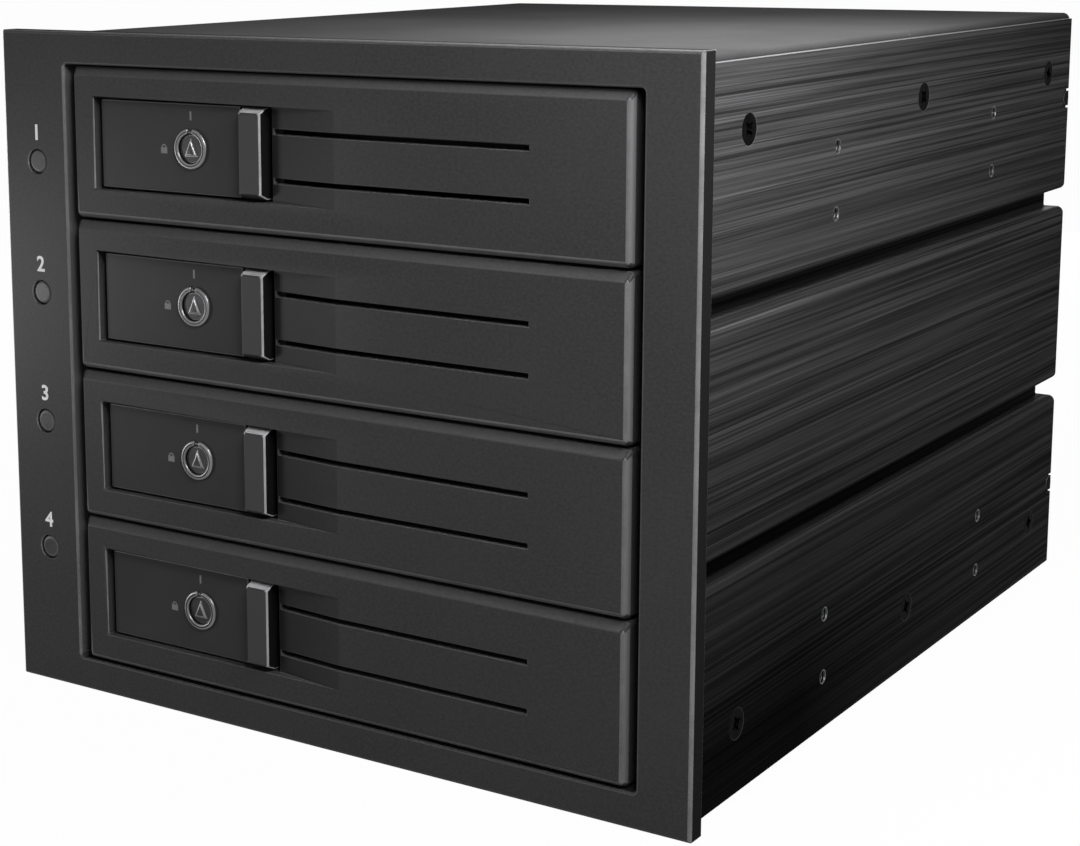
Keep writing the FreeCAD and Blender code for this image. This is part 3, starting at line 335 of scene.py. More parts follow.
@finish("board")
def solderMask(g):
    runs = g.cells(g.place(190, 190, 260), "DISTANCE_TO_EDGE", 0.25)
    weave = g.noise(g.place(2400, 2400, 500), 2.0)
    tracks = g.ramp(runs, 0.1, 0.06)
    cloud = g.noise(g.place(30), 3.0)
    colour = g.blend(g.ramp(cloud, 0.3, 0.7), tone(12, 62, 34), tone(16, 74, 42))
    colour = g.blend(tracks * 0.7, colour, tone(34, 104, 60))
    colour = g.blend(g.worn(0.9), colour, tone(150, 140, 96))
    g.finish(Base_Color=colour, Roughness=g.ramp(weave, 0.3, 0.7, 0.3, 0.4), Coat_Weight=0.3,
             Normal=g.bump(tracks * 0.8 + weave * 0.2, 0.03, 0.5))


def nylon(g, face, light, edge):
    flow = g.noise(g.place(220), 3.0, 0.6)
    skin = g.noise(g.place(2600), 2.0)
    colour = g.blend(g.ramp(flow, 0.3, 0.7), face, light)
    colour = g.blend(g.worn(0.5), colour, edge)
    g.finish(Base_Color=colour, Roughness=g.ramp(flow, 0.3, 0.7, 0.4, 0.5), Normal=g.bump(skin, 0.02, 0.4))


@finish("socket_black")
def blackNylon(g):
    nylon(g, grey(30), grey(38), grey(70))


@finish("socket_white")
def naturalNylon(g):
    nylon(g, tone(214, 210, 196), tone(224, 221, 209), tone(240, 238, 230))


@finish("fan_plastic")
def fanMoulding(g):
    nylon(g, grey(35), grey(44), grey(76))


# turned, drawn or plated metal: two tones that drift, and fine tool marks
def plated(g, low, high, rough, marks):
    drift = g.noise(g.place(300), 3.0, 0.6)
    lines = g.noise(g.place(*marks), 3.0, 0.6)
    colour = g.blend(g.ramp(drift, 0.3, 0.7), low, high)
    colour = g.blend(g.worn(0.6), colour, (0.8, 0.8, 0.8, 1.0))
    # pieces marked darkened are turned near black all over
    colour = g.blend(g.mark("dull"), colour, grey(16))
    g.finish(Base_Color=colour, Roughness=g.ramp(lines, 0.3, 0.7, rough + 0.06, rough - 0.06), Metallic=1.0,
             Normal=g.bump(lines, 0.01, 0.3))


@finish("steel_screw")
def nickelScrew(g):
    plated(g, tone(150, 152, 154), tone(182, 183, 184), 0.3, (1800, 1800, 1800))


@finish("pin_tin")
def tinnedPin(g):
    plated(g, tone(196, 192, 180), tone(220, 217, 206), 0.28, (2600, 300, 2600))


@finish("shaft_steel")
def groundShaft(g):
    plated(g, tone(168, 170, 173), tone(196, 198, 200), 0.24, (3000, 3000, 200))


@finish("spring_steel")
def springStrip(g):
    plated(g, tone(126, 130, 136), tone(160, 163, 168), 0.3, (2600, 2600, 150))


@finish("bare")
def cutAluminium(g):
    plated(g, tone(70, 71, 72), tone(96, 97, 98), 0.4, (2600, 300, 2600))


@finish("gold")
def goldFlash(g):
    plated(g, tone(186, 152, 84), tone(208, 176, 106), 0.3, (2600, 400, 2600))


@finish("bronze")
def sinteredBronze(g):
    plated(g, tone(150, 108, 62), tone(176, 132, 80), 0.46, (2400, 2400, 2400))


@finish("lock_metal")
def lockMetal(g):
    drift = g.noise(g.place(500), 3.0, 0.6)
    lathe = g.noise(g.place(2400), 3.0, 0.6)
    colour = g.blend(g.ramp(drift, 0.3, 0.7), grey(32), grey(42))
    # the eased edges lighten: wear with painted highlight
    colour = g.blend(g.worn(0.9), colour, grey(118))
    g.finish(Base_Color=colour, Roughness=g.ramp(lathe, 0.3, 0.7, 0.42, 0.3), Metallic=0.85,
             Normal=g.bump(lathe, 0.015, 0.4))


@finish("black_screw")
def blackOxideScrew(g):
    drift = g.noise(g.place(500), 3.0, 0.6)
    colour = g.blend(g.ramp(drift, 0.35, 0.65), grey(3), grey(6))
    colour = g.blend(g.worn(0.5), colour, grey(34))
    g.finish(Base_Color=colour, Roughness=g.ramp(drift, 0.3, 0.7, 0.46, 0.34), Metallic=0.1,
             Specular_IOR_Level=0.0, Normal=g.bump(drift, 0.02, 0.4))


@finish("core")
def windingCore(g):
    steps = g.node("ShaderNodeTexWave", {"bands_direction": "Y"},
                   {"Vector": g.place(1400), "Scale": 1.0, "Distortion": 0.0})
    drift = g.noise(g.place(400), 3.0, 0.6)
    colour = g.blend(g.ramp(drift, 0.3, 0.7), tone(112, 108, 104), tone(142, 134, 126))
    g.finish(Base_Color=colour, Roughness=g.ramp(drift, 0.3, 0.7, 0.5, 0.38), Metallic=0.9,
             Normal=g.bump(steps, 0.03, 0.6))


@finish("capacitor")
def canSleeve(g):
    drift = g.noise(g.place(300), 3.0, 0.6)
    wrap = g.noise(g.place(60, 700, 60), 2.0)
    colour = g.blend(g.ramp(drift, 0.3, 0.7), tone(150, 152, 156), tone(178, 180, 183))
    g.finish(Base_Color=colour, Roughness=g.ramp(wrap, 0.3, 0.7, 0.4, 0.3), Metallic=0.8,
             Normal=g.bump(drift, 0.02, 0.4))


@finish("clear")
def smokedPipe(g):
    flow = g.noise(g.place(500), 3.0, 0.6)
    colour = g.blend(g.ramp(flow, 0.3, 0.7), grey(44), grey(52))
    # the rim's slopes and eased edges lighten: painted highlight
    colour = g.blend(g.worn(0.8), colour, grey(84))
    g.finish(Base_Color=colour, Roughness=g.ramp(flow, 0.3, 0.7, 0.24, 0.34), Specular_IOR_Level=0.08,
             Normal=g.bump(flow, 0.02, 0.3))


@finish("lamp")
def lampLens(g):
    glow = g.noise(g.place(900), 2.0)
    colour = g.blend(g.ramp(glow, 0.3, 0.7), tone(206, 206, 196), tone(226, 225, 214))
    g.finish(Base_Color=colour, Roughness=g.ramp(glow, 0.3, 0.7, 0.2, 0.32), Coat_Weight=0.5,
             Normal=g.bump(glow, 0.02, 0.3))


@finish("ink")
def printInk(g):
    dots = g.noise(g.place(2600), 2.0, 0.6)
    patches = g.noise(g.place(500), 3.0)
    colour = g.blend(g.ramp(patches, 0.3, 0.7), grey(176), grey(196))
    g.finish(Base_Color=colour, Roughness=g.ramp(dots, 0.3, 0.7, 0.5, 0.65), Normal=g.bump(dots, 0.01, 0.4))


@finish("mark")
def mouldedMark(g):
    dots = g.noise(g.place(2600), 2.0, 0.6)
    colour = g.blend(g.ramp(dots, 0.3, 0.7), grey(62), grey(72))
    g.finish(Base_Color=colour, Roughness=g.ramp(dots, 0.3, 0.7, 0.5, 0.65), Normal=g.bump(dots, 0.01, 0.4))


print("finishes:", len(finishes))


# a finished mesh becomes a piece of the object
def addPiece(name, mesh, slot, body, *replaced):
    piece = bpy.data.objects.new(name, mesh)
    bpy.context.scene.collection.objects.link(piece)
    mesh.materials.clear()
    mesh.materials.append(finishes[slot])
    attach(piece, body)
    if replaced:
        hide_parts(*replaced)
    return piece


def bodyOf(node):
    return body_of(cad[node])[0]


def mergedCopy(node):
    shape = bmesh.new()
    shape.from_mesh(cad[node].data)
    bmesh.ops.remove_doubles(shape, verts=shape.verts, dist=mergeGap)
    return shape


# triangles that lie in one plane become one face
def joinFlats(shape):
    bmesh.ops.dissolve_limit(shape, angle_limit=flatAngle, verts=shape.verts, edges=shape.edges)


def helperFor(name, data):
    helper = bpy.data.objects.new(name + "Helper", data)
    bpy.context.scene.collection.objects.link(helper)
    return helper


# a helper object's finished mesh, on its own
def settle(helper):
    mesh = bpy.data.meshes.new_from_object(helper.evaluated_get(bpy.context.evaluated_depsgraph_get()))
    helper.modifiers.clear()
    bpy.data.objects.remove(helper)
    return mesh


# boxes of a node's separate solids, each a lowest and a highest corner
def solidBoxes(node):
    shape = mergedCopy(node)
    shape.verts.ensure_lookup_table()
    seen = set()
    boxes = []
    for start in shape.verts:
        if start.index in seen:
            continue
        seen.add(start.index)
        pending, found = [start], []
        while pending:
            vertex = pending.pop()
            found.append(vertex.co)
            for edge in vertex.link_edges:
                other = edge.other_vert(vertex)
                if other.index not in seen:
                    seen.add(other.index)
                    pending.append(other)
        boxes.append((Vector([min(c[i] for c in found) for i in range(3)]),
                      Vector([max(c[i] for c in found) for i in range(3)])))
    shape.free()
    return boxes


# a node's name without the number of its bay
def kindOf(node):
    return node.rstrip("_1234")


# angles from which an edge is eased and from which it stays sharp, and the area that counts as a large flat face
refineLook = {"sharp": math.radians(34), "keepSharp": math.radians(48), "flatArea": 5 * mm ** 2}
# edges on a piece's front that are eased more widely: where they lie, across from the middle and up from the foot,
# in mm, how wide the round is, and how strong its mark, a painted highlight along the window's rim and the lower and
# right edges
rimmed = {"tray_front": [{"zones": [((-51.5, 4.5), (-12.0, 24.5))], "width": 0.38, "mark": 1.0},
                         {"zones": [((-57.0, 0.3), (63.0, 1.1)), ((60.9, 0.3), (63.0, 29.0))],
                          "width": 0.45, "mark": 0.6}]}
sameAs = {"tray_front": "tray_front_3"}    # pieces of one shape at several heights, all eased alike
# how strong the edge mark, wear with painted highlight, is on all other edges, where it isn't 1
softMark = {"tray_front": 0.12, "handle": 0.25, "side_plate_right": 0.4, "side_plate_left": 0.4}


# the knuckle's crown goes down to the level of the handle's plate
def levelHinge(shape):
    plate = max(shape.faces, key=lambda f: f.calc_area() if f.normal.y < -0.99 else 0.0)
    level = plate.calc_center_median().y
    end = min(v.co.x for v in plate.verts) + 1 * mm
    for vertex in shape.verts:
        if vertex.co.x < end and vertex.co.y < level:
            vertex.co.y = level
    bmesh.ops.remove_doubles(shape, verts=shape.verts, dist=mergeGap)
    bmesh.ops.dissolve_degenerate(shape, dist=mergeGap, edges=shape.edges)
    joinFlats(shape)


def isSlope(normal):
    return -0.93 < normal.y < -0.3


# where marks begin or end, across from the middle
markAt = {name: at * mm for name, at in {
    "bezelRim": 73.0, "bezelSide": 73.5, "openingFar": -60.0, "openingLeft": -50.0,
    "ridgeGroove": -16.6, "ridgeLeft": -16.2, "ridgeEdge": -12.2, "ridgeRight": -11.6}.items()}
# which faces carry a mark and how strongly, from the face's normal, its centre and its area in square mm; bevel and
# ridge are painted light, scoop and flank painted shade, and the edge mark on slopes a painted highlight
faceMarks = {
    "tray_front": {"bevel": lambda n, c, a: bevelShare(n) if isSlope(n) and a > 20 else 0.0,
                   "scoop": lambda n, c, a: n.y < -0.9 and -0.3 < n.x < -0.03},
    "front_bezel": {"worn": lambda n, c, a: bezelShine(n, c) if isSlope(n) else 0.0,
                    "bevel": lambda n, c, a: 0.5 if n.x > 0.95
                    and markAt["openingFar"] < c.x < markAt["openingLeft"] else 0.0,
                    "flank": lambda n, c, a: n.z > 0.95 or abs(n.x) > 0.95 and abs(c.x) > markAt["bezelSide"]},
    "handle": {"flank": lambda n, c, a: n.x > 0.95 and c.x > markAt["ridgeRight"],
               "ridge": lambda n, c, a: n.y < -0.99 and c.x > markAt["ridgeLeft"],
               "worn": lambda n, c, a: 0.9 if isSlope(n)
               and (n.z > 0.8 or n.x > 0.1 and c.x > markAt["ridgeEdge"]) else 0.0},
    "light_pipes": {"worn": lambda n, c, a: isSlope(n)},
    "handle_pin": {"dull": lambda n, c, a: True},
}


# the tray front's slopes carry painted light: the lower and the right one are lightest, the upper one hardly
def bevelShare(normal):
    if normal.z < -0.5:
        return 0.9
    if normal.z > 0.5:
        return 0.1
    return 0.8 if normal.x > 0 else 0.0


# the bezel's eased edges: bright down its sides and at the left of its opening, soft elsewhere, plain on top
def bezelShine(normal, centre):
    if normal.z > 0.3:
        return 0.0
    if abs(centre.x) > markAt["bezelRim"]:
        return 0.8
    return 0.75 if normal.x > 0.2 and centre.x < markAt["openingLeft"] else 0.22


# the handle's eased edges: bright on the ridge, dimmer on the plate, soft where they face left or down
def handleShine(normal, centre):
    if normal.z > 0.3 or normal.x > 0.1:
        return 1.0 if centre.x > markAt["ridgeGroove"] else 0.5
    return softMark["handle"]


edgeMarks = {"front_bezel": bezelShine, "handle": handleShine}


# each corner that touches a large flat face takes that face's direction, so that the face shades evenly
def levelNormals(mesh):
    flats = {}
    for face in mesh.polygons:
        if face.area > refineLook["flatArea"]:
            flats.update({v: face.normal.copy() for v in face.vertices})
    directions = [corner.vector.copy() for corner in mesh.corner_normals]
    for loop in mesh.loops:
        flat = flats.get(loop.vertex_index)
        if flat and flat.dot(directions[loop.index]) > 0.9:
            directions[loop.index] = flat
    mesh.normals_split_custom_set(directions)


# the node's shape with every edge eased by a small round, which carries the mark for edge wear and painted edge
# highlight
def refine(node, edge, segments=2):
    kind = kindOf(node)
    shape = mergedCopy(node)
    if kind in sameAs:
        foot = min(v.co.z for v in shape.verts)
        shape.free()
        shape = mergedCopy(sameAs[kind])
        lift = foot - min(v.co.z for v in shape.verts)
        bmesh.ops.translate(shape, vec=(0, 0, lift), verts=shape.verts)
    joinFlats(shape)

    def sharpEdges():
        return [e for e in shape.edges if len(e.link_faces) == 2 and e.calc_face_angle(0) > refineLook["sharp"]]

    def ease(edges, width, steps):
        made = bmesh.ops.bevel(shape, geom=edges, offset=width * mm, offset_type="OFFSET", segments=steps,
                               profile=0.5, affect="EDGES", clamp_overlap=False)
        return [f for f in made["faces"] if f.is_valid]

    worn = shape.faces.layers.float.new("worn")
    if kind == "handle":
        levelHinge(shape)
    if kind in rimmed:
        front = min(v.co.y for v in shape.verts)
        base = min(v.co.z for v in shape.verts)
        for rim in rimmed[kind]:

            def inZone(vertex, zone):
                (lowX, lowZ), (highX, highZ) = zone
                across, up = vertex.co.x / mm, (vertex.co.z - base) / mm
                return abs(vertex.co.y - front) < 0.01 * mm and lowX < across < highX and lowZ < up < highZ

            chosen = [e for e in sharpEdges()
                      if any(all(inZone(v, zone) for v in e.verts) for zone in rim["zones"])]
            for face in ease(chosen, rim["width"], 3):
                face[worn] = rim["mark"]
    for face in ease(sharpEdges(), edge, segments):
        face[worn] = softMark.get(kind, 1.0)
    if kind in rimmed:    # the easing pulls a few corners out of the flat front
        flats = [f for f in shape.faces if f.normal.y < -0.9995 and f.calc_area() > refineLook["flatArea"]]
        for vertex in {v for f in flats for v in f.verts if abs(v.co.y - front) < 0.3 * mm}:
            vertex.co.y = front
    for name in faceMarks.get(kind, {}):
        if not shape.faces.layers.float.get(name):
            shape.faces.layers.float.new(name)
    worn = shape.faces.layers.float.get("worn")
    for face in shape.faces:
        normal, centre = face.normal, face.calc_center_median()
        if face[worn]:
            if kind in edgeMarks:
                face[worn] = edgeMarks[kind](normal, centre)
            continue
        for name, share in faceMarks.get(kind, {}).items():
            face[shape.faces.layers.float.get(name)] = float(share(normal, centre, face.calc_area() / mm ** 2))
    for face in shape.faces:
        face.smooth = True
    for line in shape.edges:
        line.smooth = len(line.link_faces) != 2 or line.calc_face_angle(0) <= refineLook["keepSharp"]
    mesh = bpy.data.meshes.new(node)
    shape.to_mesh(mesh)
    shape.free()
    helper = helperFor(node, mesh)
    helper.modifiers.new("weight", "WEIGHTED_NORMAL").keep_sharp = True
    settled = settle(helper)
    if kind in rimmed:
        levelNormals(settled)
    return addPiece(node.replace("_", "") + "Eased", settled, slotOf[node], bodyOf(node), node)


# how far each piece's edges are eased, in mm
easing = {
    "front_bezel": 0.18, "side_plate_right": 0.12, "side_plate_left": 0.12, "lid": 0.12, "base": 0.12,
    "rear_panel": 0.1, "guide_frame_right": 0.15, "guide_frame_left": 0.15, "fan_frame": 0.25,
    "drive_sockets": 0.12, "data_sockets": 0.1, "power_sockets": 0.12, "backplane_board": 0.06,
    "lamp_board": 0.06, "board_capacitors": 0.35, "lamps": 0.2,
    "tray_front": 0.2, "tray_frame": 0.08, "handle": 0.22, "lock_collar": 0.28, "lock_barrel": 0.2,
    "handle_pin": 0.15,
}
for node in cad:
    if kindOf(node) in easing:
        refine(node, easing[kindOf(node)])
refine("light_pipes", 0.7, 4)
for node in cad:
    cad[node].data.materials.clear()
    cad[node].data.materials.append(finishes[slotOf[node]])
print("edges eased")


# Geometry Nodes: a tree with named inputs, its result kept as one plain mesh
class Recipe(Graph):
    def __init__(self, name, inputs):
        super().__init__(bpy.data.node_groups.new(name, "GeometryNodeTree"))
        kinds = {float: "NodeSocketFloat", int: "NodeSocketInt"}
        self.values = dict(inputs)
        self.tree.interface.new_socket("Geometry", in_out="INPUT", socket_type="NodeSocketGeometry")
        for label, value in inputs.items():
            self.tree.interface.new_socket(label, in_out="INPUT", socket_type=kinds[type(value)])
        self.tree.interface.new_socket("Geometry", in_out="OUTPUT", socket_type="NodeSocketGeometry")
        self.group = self.tree.nodes.new("NodeGroupInput")

    def input(self, label):
        return Signal(self, self.group.outputs[label])

    def close(self, shape, slot):
        solid = self.node("GeometryNodeRealizeInstances", None, {"Geometry": shape})
        dressed = self.node("GeometryNodeSetMaterial", None, {"Geometry": solid, "Material": finishes[slot]})
        self.node("NodeGroupOutput", None, {"Geometry": dressed})

    def join(self, *shapes):
        made = self.tree.nodes.new("GeometryNodeJoinGeometry")
        for shape in shapes:
            self.tree.links.new(shape.socket, made.inputs[0])
        return Signal(self, made.outputs[0])

    # one of the shape on each point, its z the way that the point faces, and rolled about it
    def scatter(self, shape, slot, roll=None):
        way = self.node("GeometryNodeInputNamedAttribute", {"data_type": "FLOAT_VECTOR"}, {"Name": "facing"})
        turned = self.node("FunctionNodeAlignRotationToVector", {"axis": "Z"}, {"Vector": way})
        if roll is not None:
            spin = self.node("FunctionNodeEulerToRotation", None, {"Euler": self.vector(z=roll)})
            turned = self.node("FunctionNodeRotateRotation", {"rotation_space": "LOCAL"},
                               {"Rotation": turned, "Rotate By": spin})
        placed = self.node("GeometryNodeInstanceOnPoints", None,
                           {"Points": self.input("Geometry"), "Instance": shape, "Rotation": turned})
        self.close(placed, slot)

    def vector(self, x=0.0, y=0.0, z=0.0):
        return self.node("ShaderNodeCombineXYZ", None, {"X": x, "Y": y, "Z": z})

    def move(self, shape, where=(0, 0, 0), turn=(0, 0, 0)):
        return self.node("GeometryNodeTransform", None, {"Geometry": shape, "Translation": where, "Rotation": turn})

    def cone(self, low, high, height, sides=28):
        return self.node("GeometryNodeMeshCone", {"fill_type": "NGON"},
                         {"Vertices": sides, "Radius Top": high, "Radius Bottom": low, "Depth": height})

    def ring(self, corners, radius):
        return self.node("GeometryNodeCurvePrimitiveCircle", None, {"Resolution": corners, "Radius": radius})

    def sweep(self, path, profile):
        return self.node("GeometryNodeCurveToMesh", None,
                         {"Curve": path, "Profile Curve": profile, "Fill Caps": True})

    # the tree run on points, each with the way that it faces
    def run(self, name, points, facings, **values):
        mesh = bpy.data.meshes.new(name + "Points")
        mesh.from_pydata([tuple(p) for p in points], [], [])
        facing = mesh.attributes.new("facing", "FLOAT_VECTOR", "POINT")
        for i, way in enumerate(facings):
            facing.data[i].vector = way
        helper = helperFor(name, mesh)
        modifier = helper.modifiers.new("recipe", "NODES")
        modifier.node_group = self.tree
        wanted = {**self.values, **values}
        for item in self.tree.interface.items_tree:
            if item.in_out == "INPUT" and item.name in wanted:
                modifier[item.identifier] = wanted[item.name]
        made = settle(helper)
        made.name = name
        return made


# screws with a cross recess, head up along z, set on points and turned at random
def screwRecipe(name, slot, countersunk):
    g = Recipe(name, {"headRadius": 0.0027, "headHeight": 0.0012, "shankRadius": 0.0015, "length": 0.006,
                      "recessWidth": 0.003, "recessBlade": 0.0006, "recessDepth": 0.0009, "seed": 1})
    radius, height, shank = g.input("headRadius"), g.input("headHeight"), g.input("shankRadius")
    head = g.cone(shank, radius, height) if countersunk else g.cone(radius, radius * 0.8, height)
    head = g.move(head, g.vector(z=0 - height))
    width, blade, depth = g.input("recessWidth"), g.input("recessBlade"), g.input("recessDepth")
    first = g.node("GeometryNodeMeshCube", None, {"Size": g.vector(width, blade, depth * 2)})
    second = g.node("GeometryNodeMeshCube", None, {"Size": g.vector(blade, width, depth * 2)})
    bottom = g.move(g.cone(blade * 0.4, width * 0.36, depth * 1.2, 8), g.vector(z=0 - depth * 1.2))
    boolean = g.tree.nodes.new("GeometryNodeMeshBoolean")
    boolean.operation = "DIFFERENCE"
    boolean.solver = "EXACT"
    g.tree.links.new(head.socket, boolean.inputs["Mesh 1"])
    for tool in (first, second, bottom):
        g.tree.links.new(tool.socket, boolean.inputs["Mesh 2"])
    length = g.input("length")
    rod = g.move(g.cone(shank, shank, length - height), g.vector(z=0 - length))
    roll = g.node("FunctionNodeRandomValue", {"data_type": "FLOAT"}, {2: 0.0, 3: 1.5, "Seed": g.input("seed")}, 1)
    g.scatter(g.join(Signal(g, boolean.outputs[0]), rod), slot, roll)
    return g


# a screw node's solids give the places; along is the axis, and way the side that the head is on
def setScrews(node, recipe, along, way, **sizes):
    points, facings = [], []
    for low, high in solidBoxes(node):
        middle = (low + high) / 2
        side = way if way else math.copysign(1, middle[along])
        middle[along] = high[along] if side > 0 else low[along]
        points.append(middle)
        facings.append([side if i == along else 0.0 for i in range(3)])
        across = (along + 1) % 3 if along != 1 else 0
        sizes["headRadius"] = (high[across] - low[across]) / 2
        sizes["length"] = high[along] - low[along]
    addPiece(node.replace("_", "") + "Crossed", recipe.run(node + "Mesh", points, facings, **sizes),
             slotOf[node], bodyOf(node), node)


countersunk = screwRecipe("countersunkScrew", "black_screw", True)
panHead = screwRecipe("panHeadScrew", "steel_screw", False)
small = {"headHeight": 0.0014, "shankRadius": 0.001, "recessWidth": 0.0024, "recessBlade": 0.0005,
         "recessDepth": 0.0008}
setScrews("case_screws", countersunk, 0, 0)
setScrews("board_screws", panHead, 1, 1, **small)
setScrews("rear_panel_screws", panHead, 1, 1, **small)
setScrews("fan_screws", panHead, 1, -1, headHeight=0.002, shankRadius=0.0021, recessWidth=0.0036,
          recessBlade=0.0007, recessDepth=0.0014)
for bay in range(1, bays + 1):
    setScrews(f"tray_screws_{bay}", panHead, 1, 1, **small)
print("screws set")


# a tapped hole: the thread's ridge down the wall and the chamfer at its mouth, mouth up along z
def threadRecipe():
    g = Recipe("tappedHole", {"radius": 0.0015, "pitch": 0.0005, "depth": 0.002, "ridge": 0.00014, "lip": 0.00012})
    radius, ridge, lip, depth = (g.input(label) for label in ("radius", "ridge", "lip", "depth"))
    helix = g.node("GeometryNodeCurveSpiral", None,
                   {"Resolution": 14, "Rotations": depth / g.input("pitch"), "Start Radius": radius - ridge * 0.3,
                    "End Radius": radius - ridge * 0.3, "Height": depth})
    wall = g.move(g.sweep(helix, g.ring(4, ridge)), g.vector(z=0 - depth - ridge))
    rim = g.move(g.sweep(g.ring(28, radius + lip * 0.2), g.ring(8, lip)), g.vector(z=0 - lip * 0.8))
    g.scatter(g.join(wall, rim), "bare")
    return g


# mouths of the round holes in a plate's outer face, between two radii in mm: each mouth's centre and radius
def holesIn(node, side, smallest, largest):
    shape = mergedCopy(node)
    joinFlats(shape)
    outer = max(side * v.co.x for v in shape.verts)

    # an edge between the outer face and a wall that goes straight in
    def isRim(edge):
        steep = sorted(abs(f.normal.x) for f in edge.link_faces)
        return (all(abs(side * v.co.x - outer) < 0.01 * mm for v in edge.verts)
                and len(steep) == 2 and steep[0] < 0.3 and steep[1] > 0.9)

    rims = {e for e in shape.edges if isRim(e)}
    found = []
    while rims:
        pending, loop = [rims.pop()], []
        while pending:
            edge = pending.pop()
            loop.append(edge)
            for vertex in edge.verts:
                for other in vertex.link_edges:
                    if other in rims:
                        rims.remove(other)
                        pending.append(other)
        ys = [v.co.y for e in loop for v in e.verts]
        zs = [v.co.z for e in loop for v in e.verts]
        wide, high = (max(ys) - min(ys)) / 2, (max(zs) - min(zs)) / 2
        if abs(wide - high) < 0.1 * mm and smallest * mm < wide < largest * mm:
            found.append((Vector((side * outer, (max(ys) + min(ys)) / 2, (max(zs) + min(zs)) / 2)), wide))
    shape.free()
    return sorted(found, key=lambda hole: tuple(hole[0]))


tapped = threadRecipe()
for node, side in (("side_plate_right", 1), ("side_plate_left", -1)):
    holes = holesIn(node, side, 0.9, 2.2)    # the countersunk holes are wider
    spots = [spot for spot, _ in holes]
    mesh = tapped.run(node + "Threads", spots, [(side, 0, 0)] * len(spots), radius=holes[0][1])
    addPiece(node.replace("_", "") + "Threads", mesh, "bare", "case")
    print(node, "tapped holes:", len(spots))


# a spring contact: a bowed strip, root at the point, reaching out along the way that it faces
def contactRecipe():
    g = Recipe("springContact", {"reach": 0.0046, "width": 0.0006, "thick": 0.00014, "bow": 0.0003, "roll": 0.0})
    reach, bow = g.input("reach"), g.input("bow")
    path = g.node("GeometryNodeCurvePrimitiveBezierSegment", {"mode": "POSITION"},
                  {"Resolution": 8, "Start": (0, 0, 0), "Start Handle": g.vector(z=reach * 0.4),
                   "End Handle": g.vector(y=bow * 2.2, z=reach * 0.7), "End": g.vector(z=reach)})
    section = g.node("GeometryNodeCurvePrimitiveQuadrilateral", None,
                     {"Width": g.input("thick"), "Height": g.input("width")})
    g.scatter(g.sweep(path, section), "gold", g.input("roll"))
    return g


# in mm, from a drive socket's left, back and foot, and from a data socket's middle and back;
# each row has so many contacts and its middle at a place across
driveContactLook = {"pitch": 1.27, "rise": 2.1, "root": 3.6, "rows": ((15, 13.6), (7, 34.3))}
dataContactLook = {"pitch": 1.27, "count": 7, "tongueHalf": 0.66, "root": 6.1}


# places of a row of contacts either side of its middle, in metres
def rowOffsets(count, pitch):
    return [(i - (count - 1) / 2) * pitch * mm for i in range(count)]


contact = contactRecipe()
look = driveContactLook
spots = [(low.x + middle * mm + offset, high.y - look["root"] * mm, low.z + look["rise"] * mm)
         for low, high in solidBoxes("drive_sockets")
         for count, middle in look["rows"]
         for offset in rowOffsets(count, look["pitch"])]
addPiece("driveContacts", contact.run("driveContacts", spots, [(0, -1, 0)] * len(spots)), "gold", "case")
look = dataContactLook
spots = [((low.x + high.x) / 2 + look["tongueHalf"] * mm, high.y - look["root"] * mm, (low.z + high.z) / 2 + offset)
         for low, high in solidBoxes("data_sockets")
         for offset in rowOffsets(look["count"], look["pitch"])]
flatStrips = contact.run("dataContacts", spots, [(0, 1, 0)] * len(spots), roll=math.pi / 2, bow=0.00002, thick=0.0001)
addPiece("dataContacts", flatStrips, "gold", "case")
print("contacts set")


# printed digits above the lamps
digitLook = {"size": 4.1, "bold": 0.09, "thick": 0.03, "rise": 5.4}


def flatText(text, size):
    curve = bpy.data.curves.new("text" + text, "FONT")
    curve.body = text
    curve.size = size * mm
    curve.extrude = digitLook["thick"] / 2 * mm
    curve.offset = digitLook["bold"] * mm
    curve.align_x = "CENTER"
    curve.align_y = "CENTER"
    curve.resolution_u = 6
    return settle(helperFor("text", curve))


lampSpots = sorted(((low + high) / 2 for low, high in solidBoxes("light_pipes")), key=lambda c: -c.z)
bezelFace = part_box("front_bezel")[0].y
for number, spot in enumerate(lampSpots, 1):
    mesh = flatText(str(number), digitLook["size"])
    where = Vector((spot.x, bezelFace - digitLook["thick"] / 2 * mm, spot.z + digitLook["rise"] * mm))
    mesh.transform(Matrix.Translation(where) @ Matrix.Rotation(math.pi / 2, 4, "X"))
    addPiece(f"digit{number}", mesh, "ink", "case")
print("digits printed")


# small moulded marks by each lock, in mm: a bar above it and a closed padlock to its left
markLook = {"barHigh": 1.6, "barWide": 0.42, "barRise": 6.0, "lockLeft": 6.4, "lockWide": 1.5, "lockHigh": 1.1,
            "shackle": 0.48, "line": 0.22, "proud": 0.03, "sunk": 0.01, "collarRise": 0.6}


# flat outlines in the plane of the face, each with a small thickness, as one mesh
def plateMesh(name, outlines, front, thick):
    shape = bmesh.new()
    for outline in outlines:
        ring = [shape.verts.new((x * mm, front, z * mm)) for x, z in outline]
        face = shape.faces.new(ring)
        face.normal_update()
        if face.normal.y > 0:
            face.normal_flip()
        grown = bmesh.ops.extrude_face_region(shape, geom=[face])
        moved = [v for v in grown["geom"] if isinstance(v, bmesh.types.BMVert)]
        bmesh.ops.translate(shape, verts=moved, vec=(0, -thick * mm, 0))
    bmesh.ops.recalc_face_normals(shape, faces=shape.faces)
    mesh = bpy.data.meshes.new(name)
    shape.to_mesh(mesh)
    shape.free()
    return mesh


def box2d(x, z, width, height):
    return [(x - width / 2, z - height / 2), (x + width / 2, z - height / 2),
            (x + width / 2, z + height / 2), (x - width / 2, z + height / 2)]


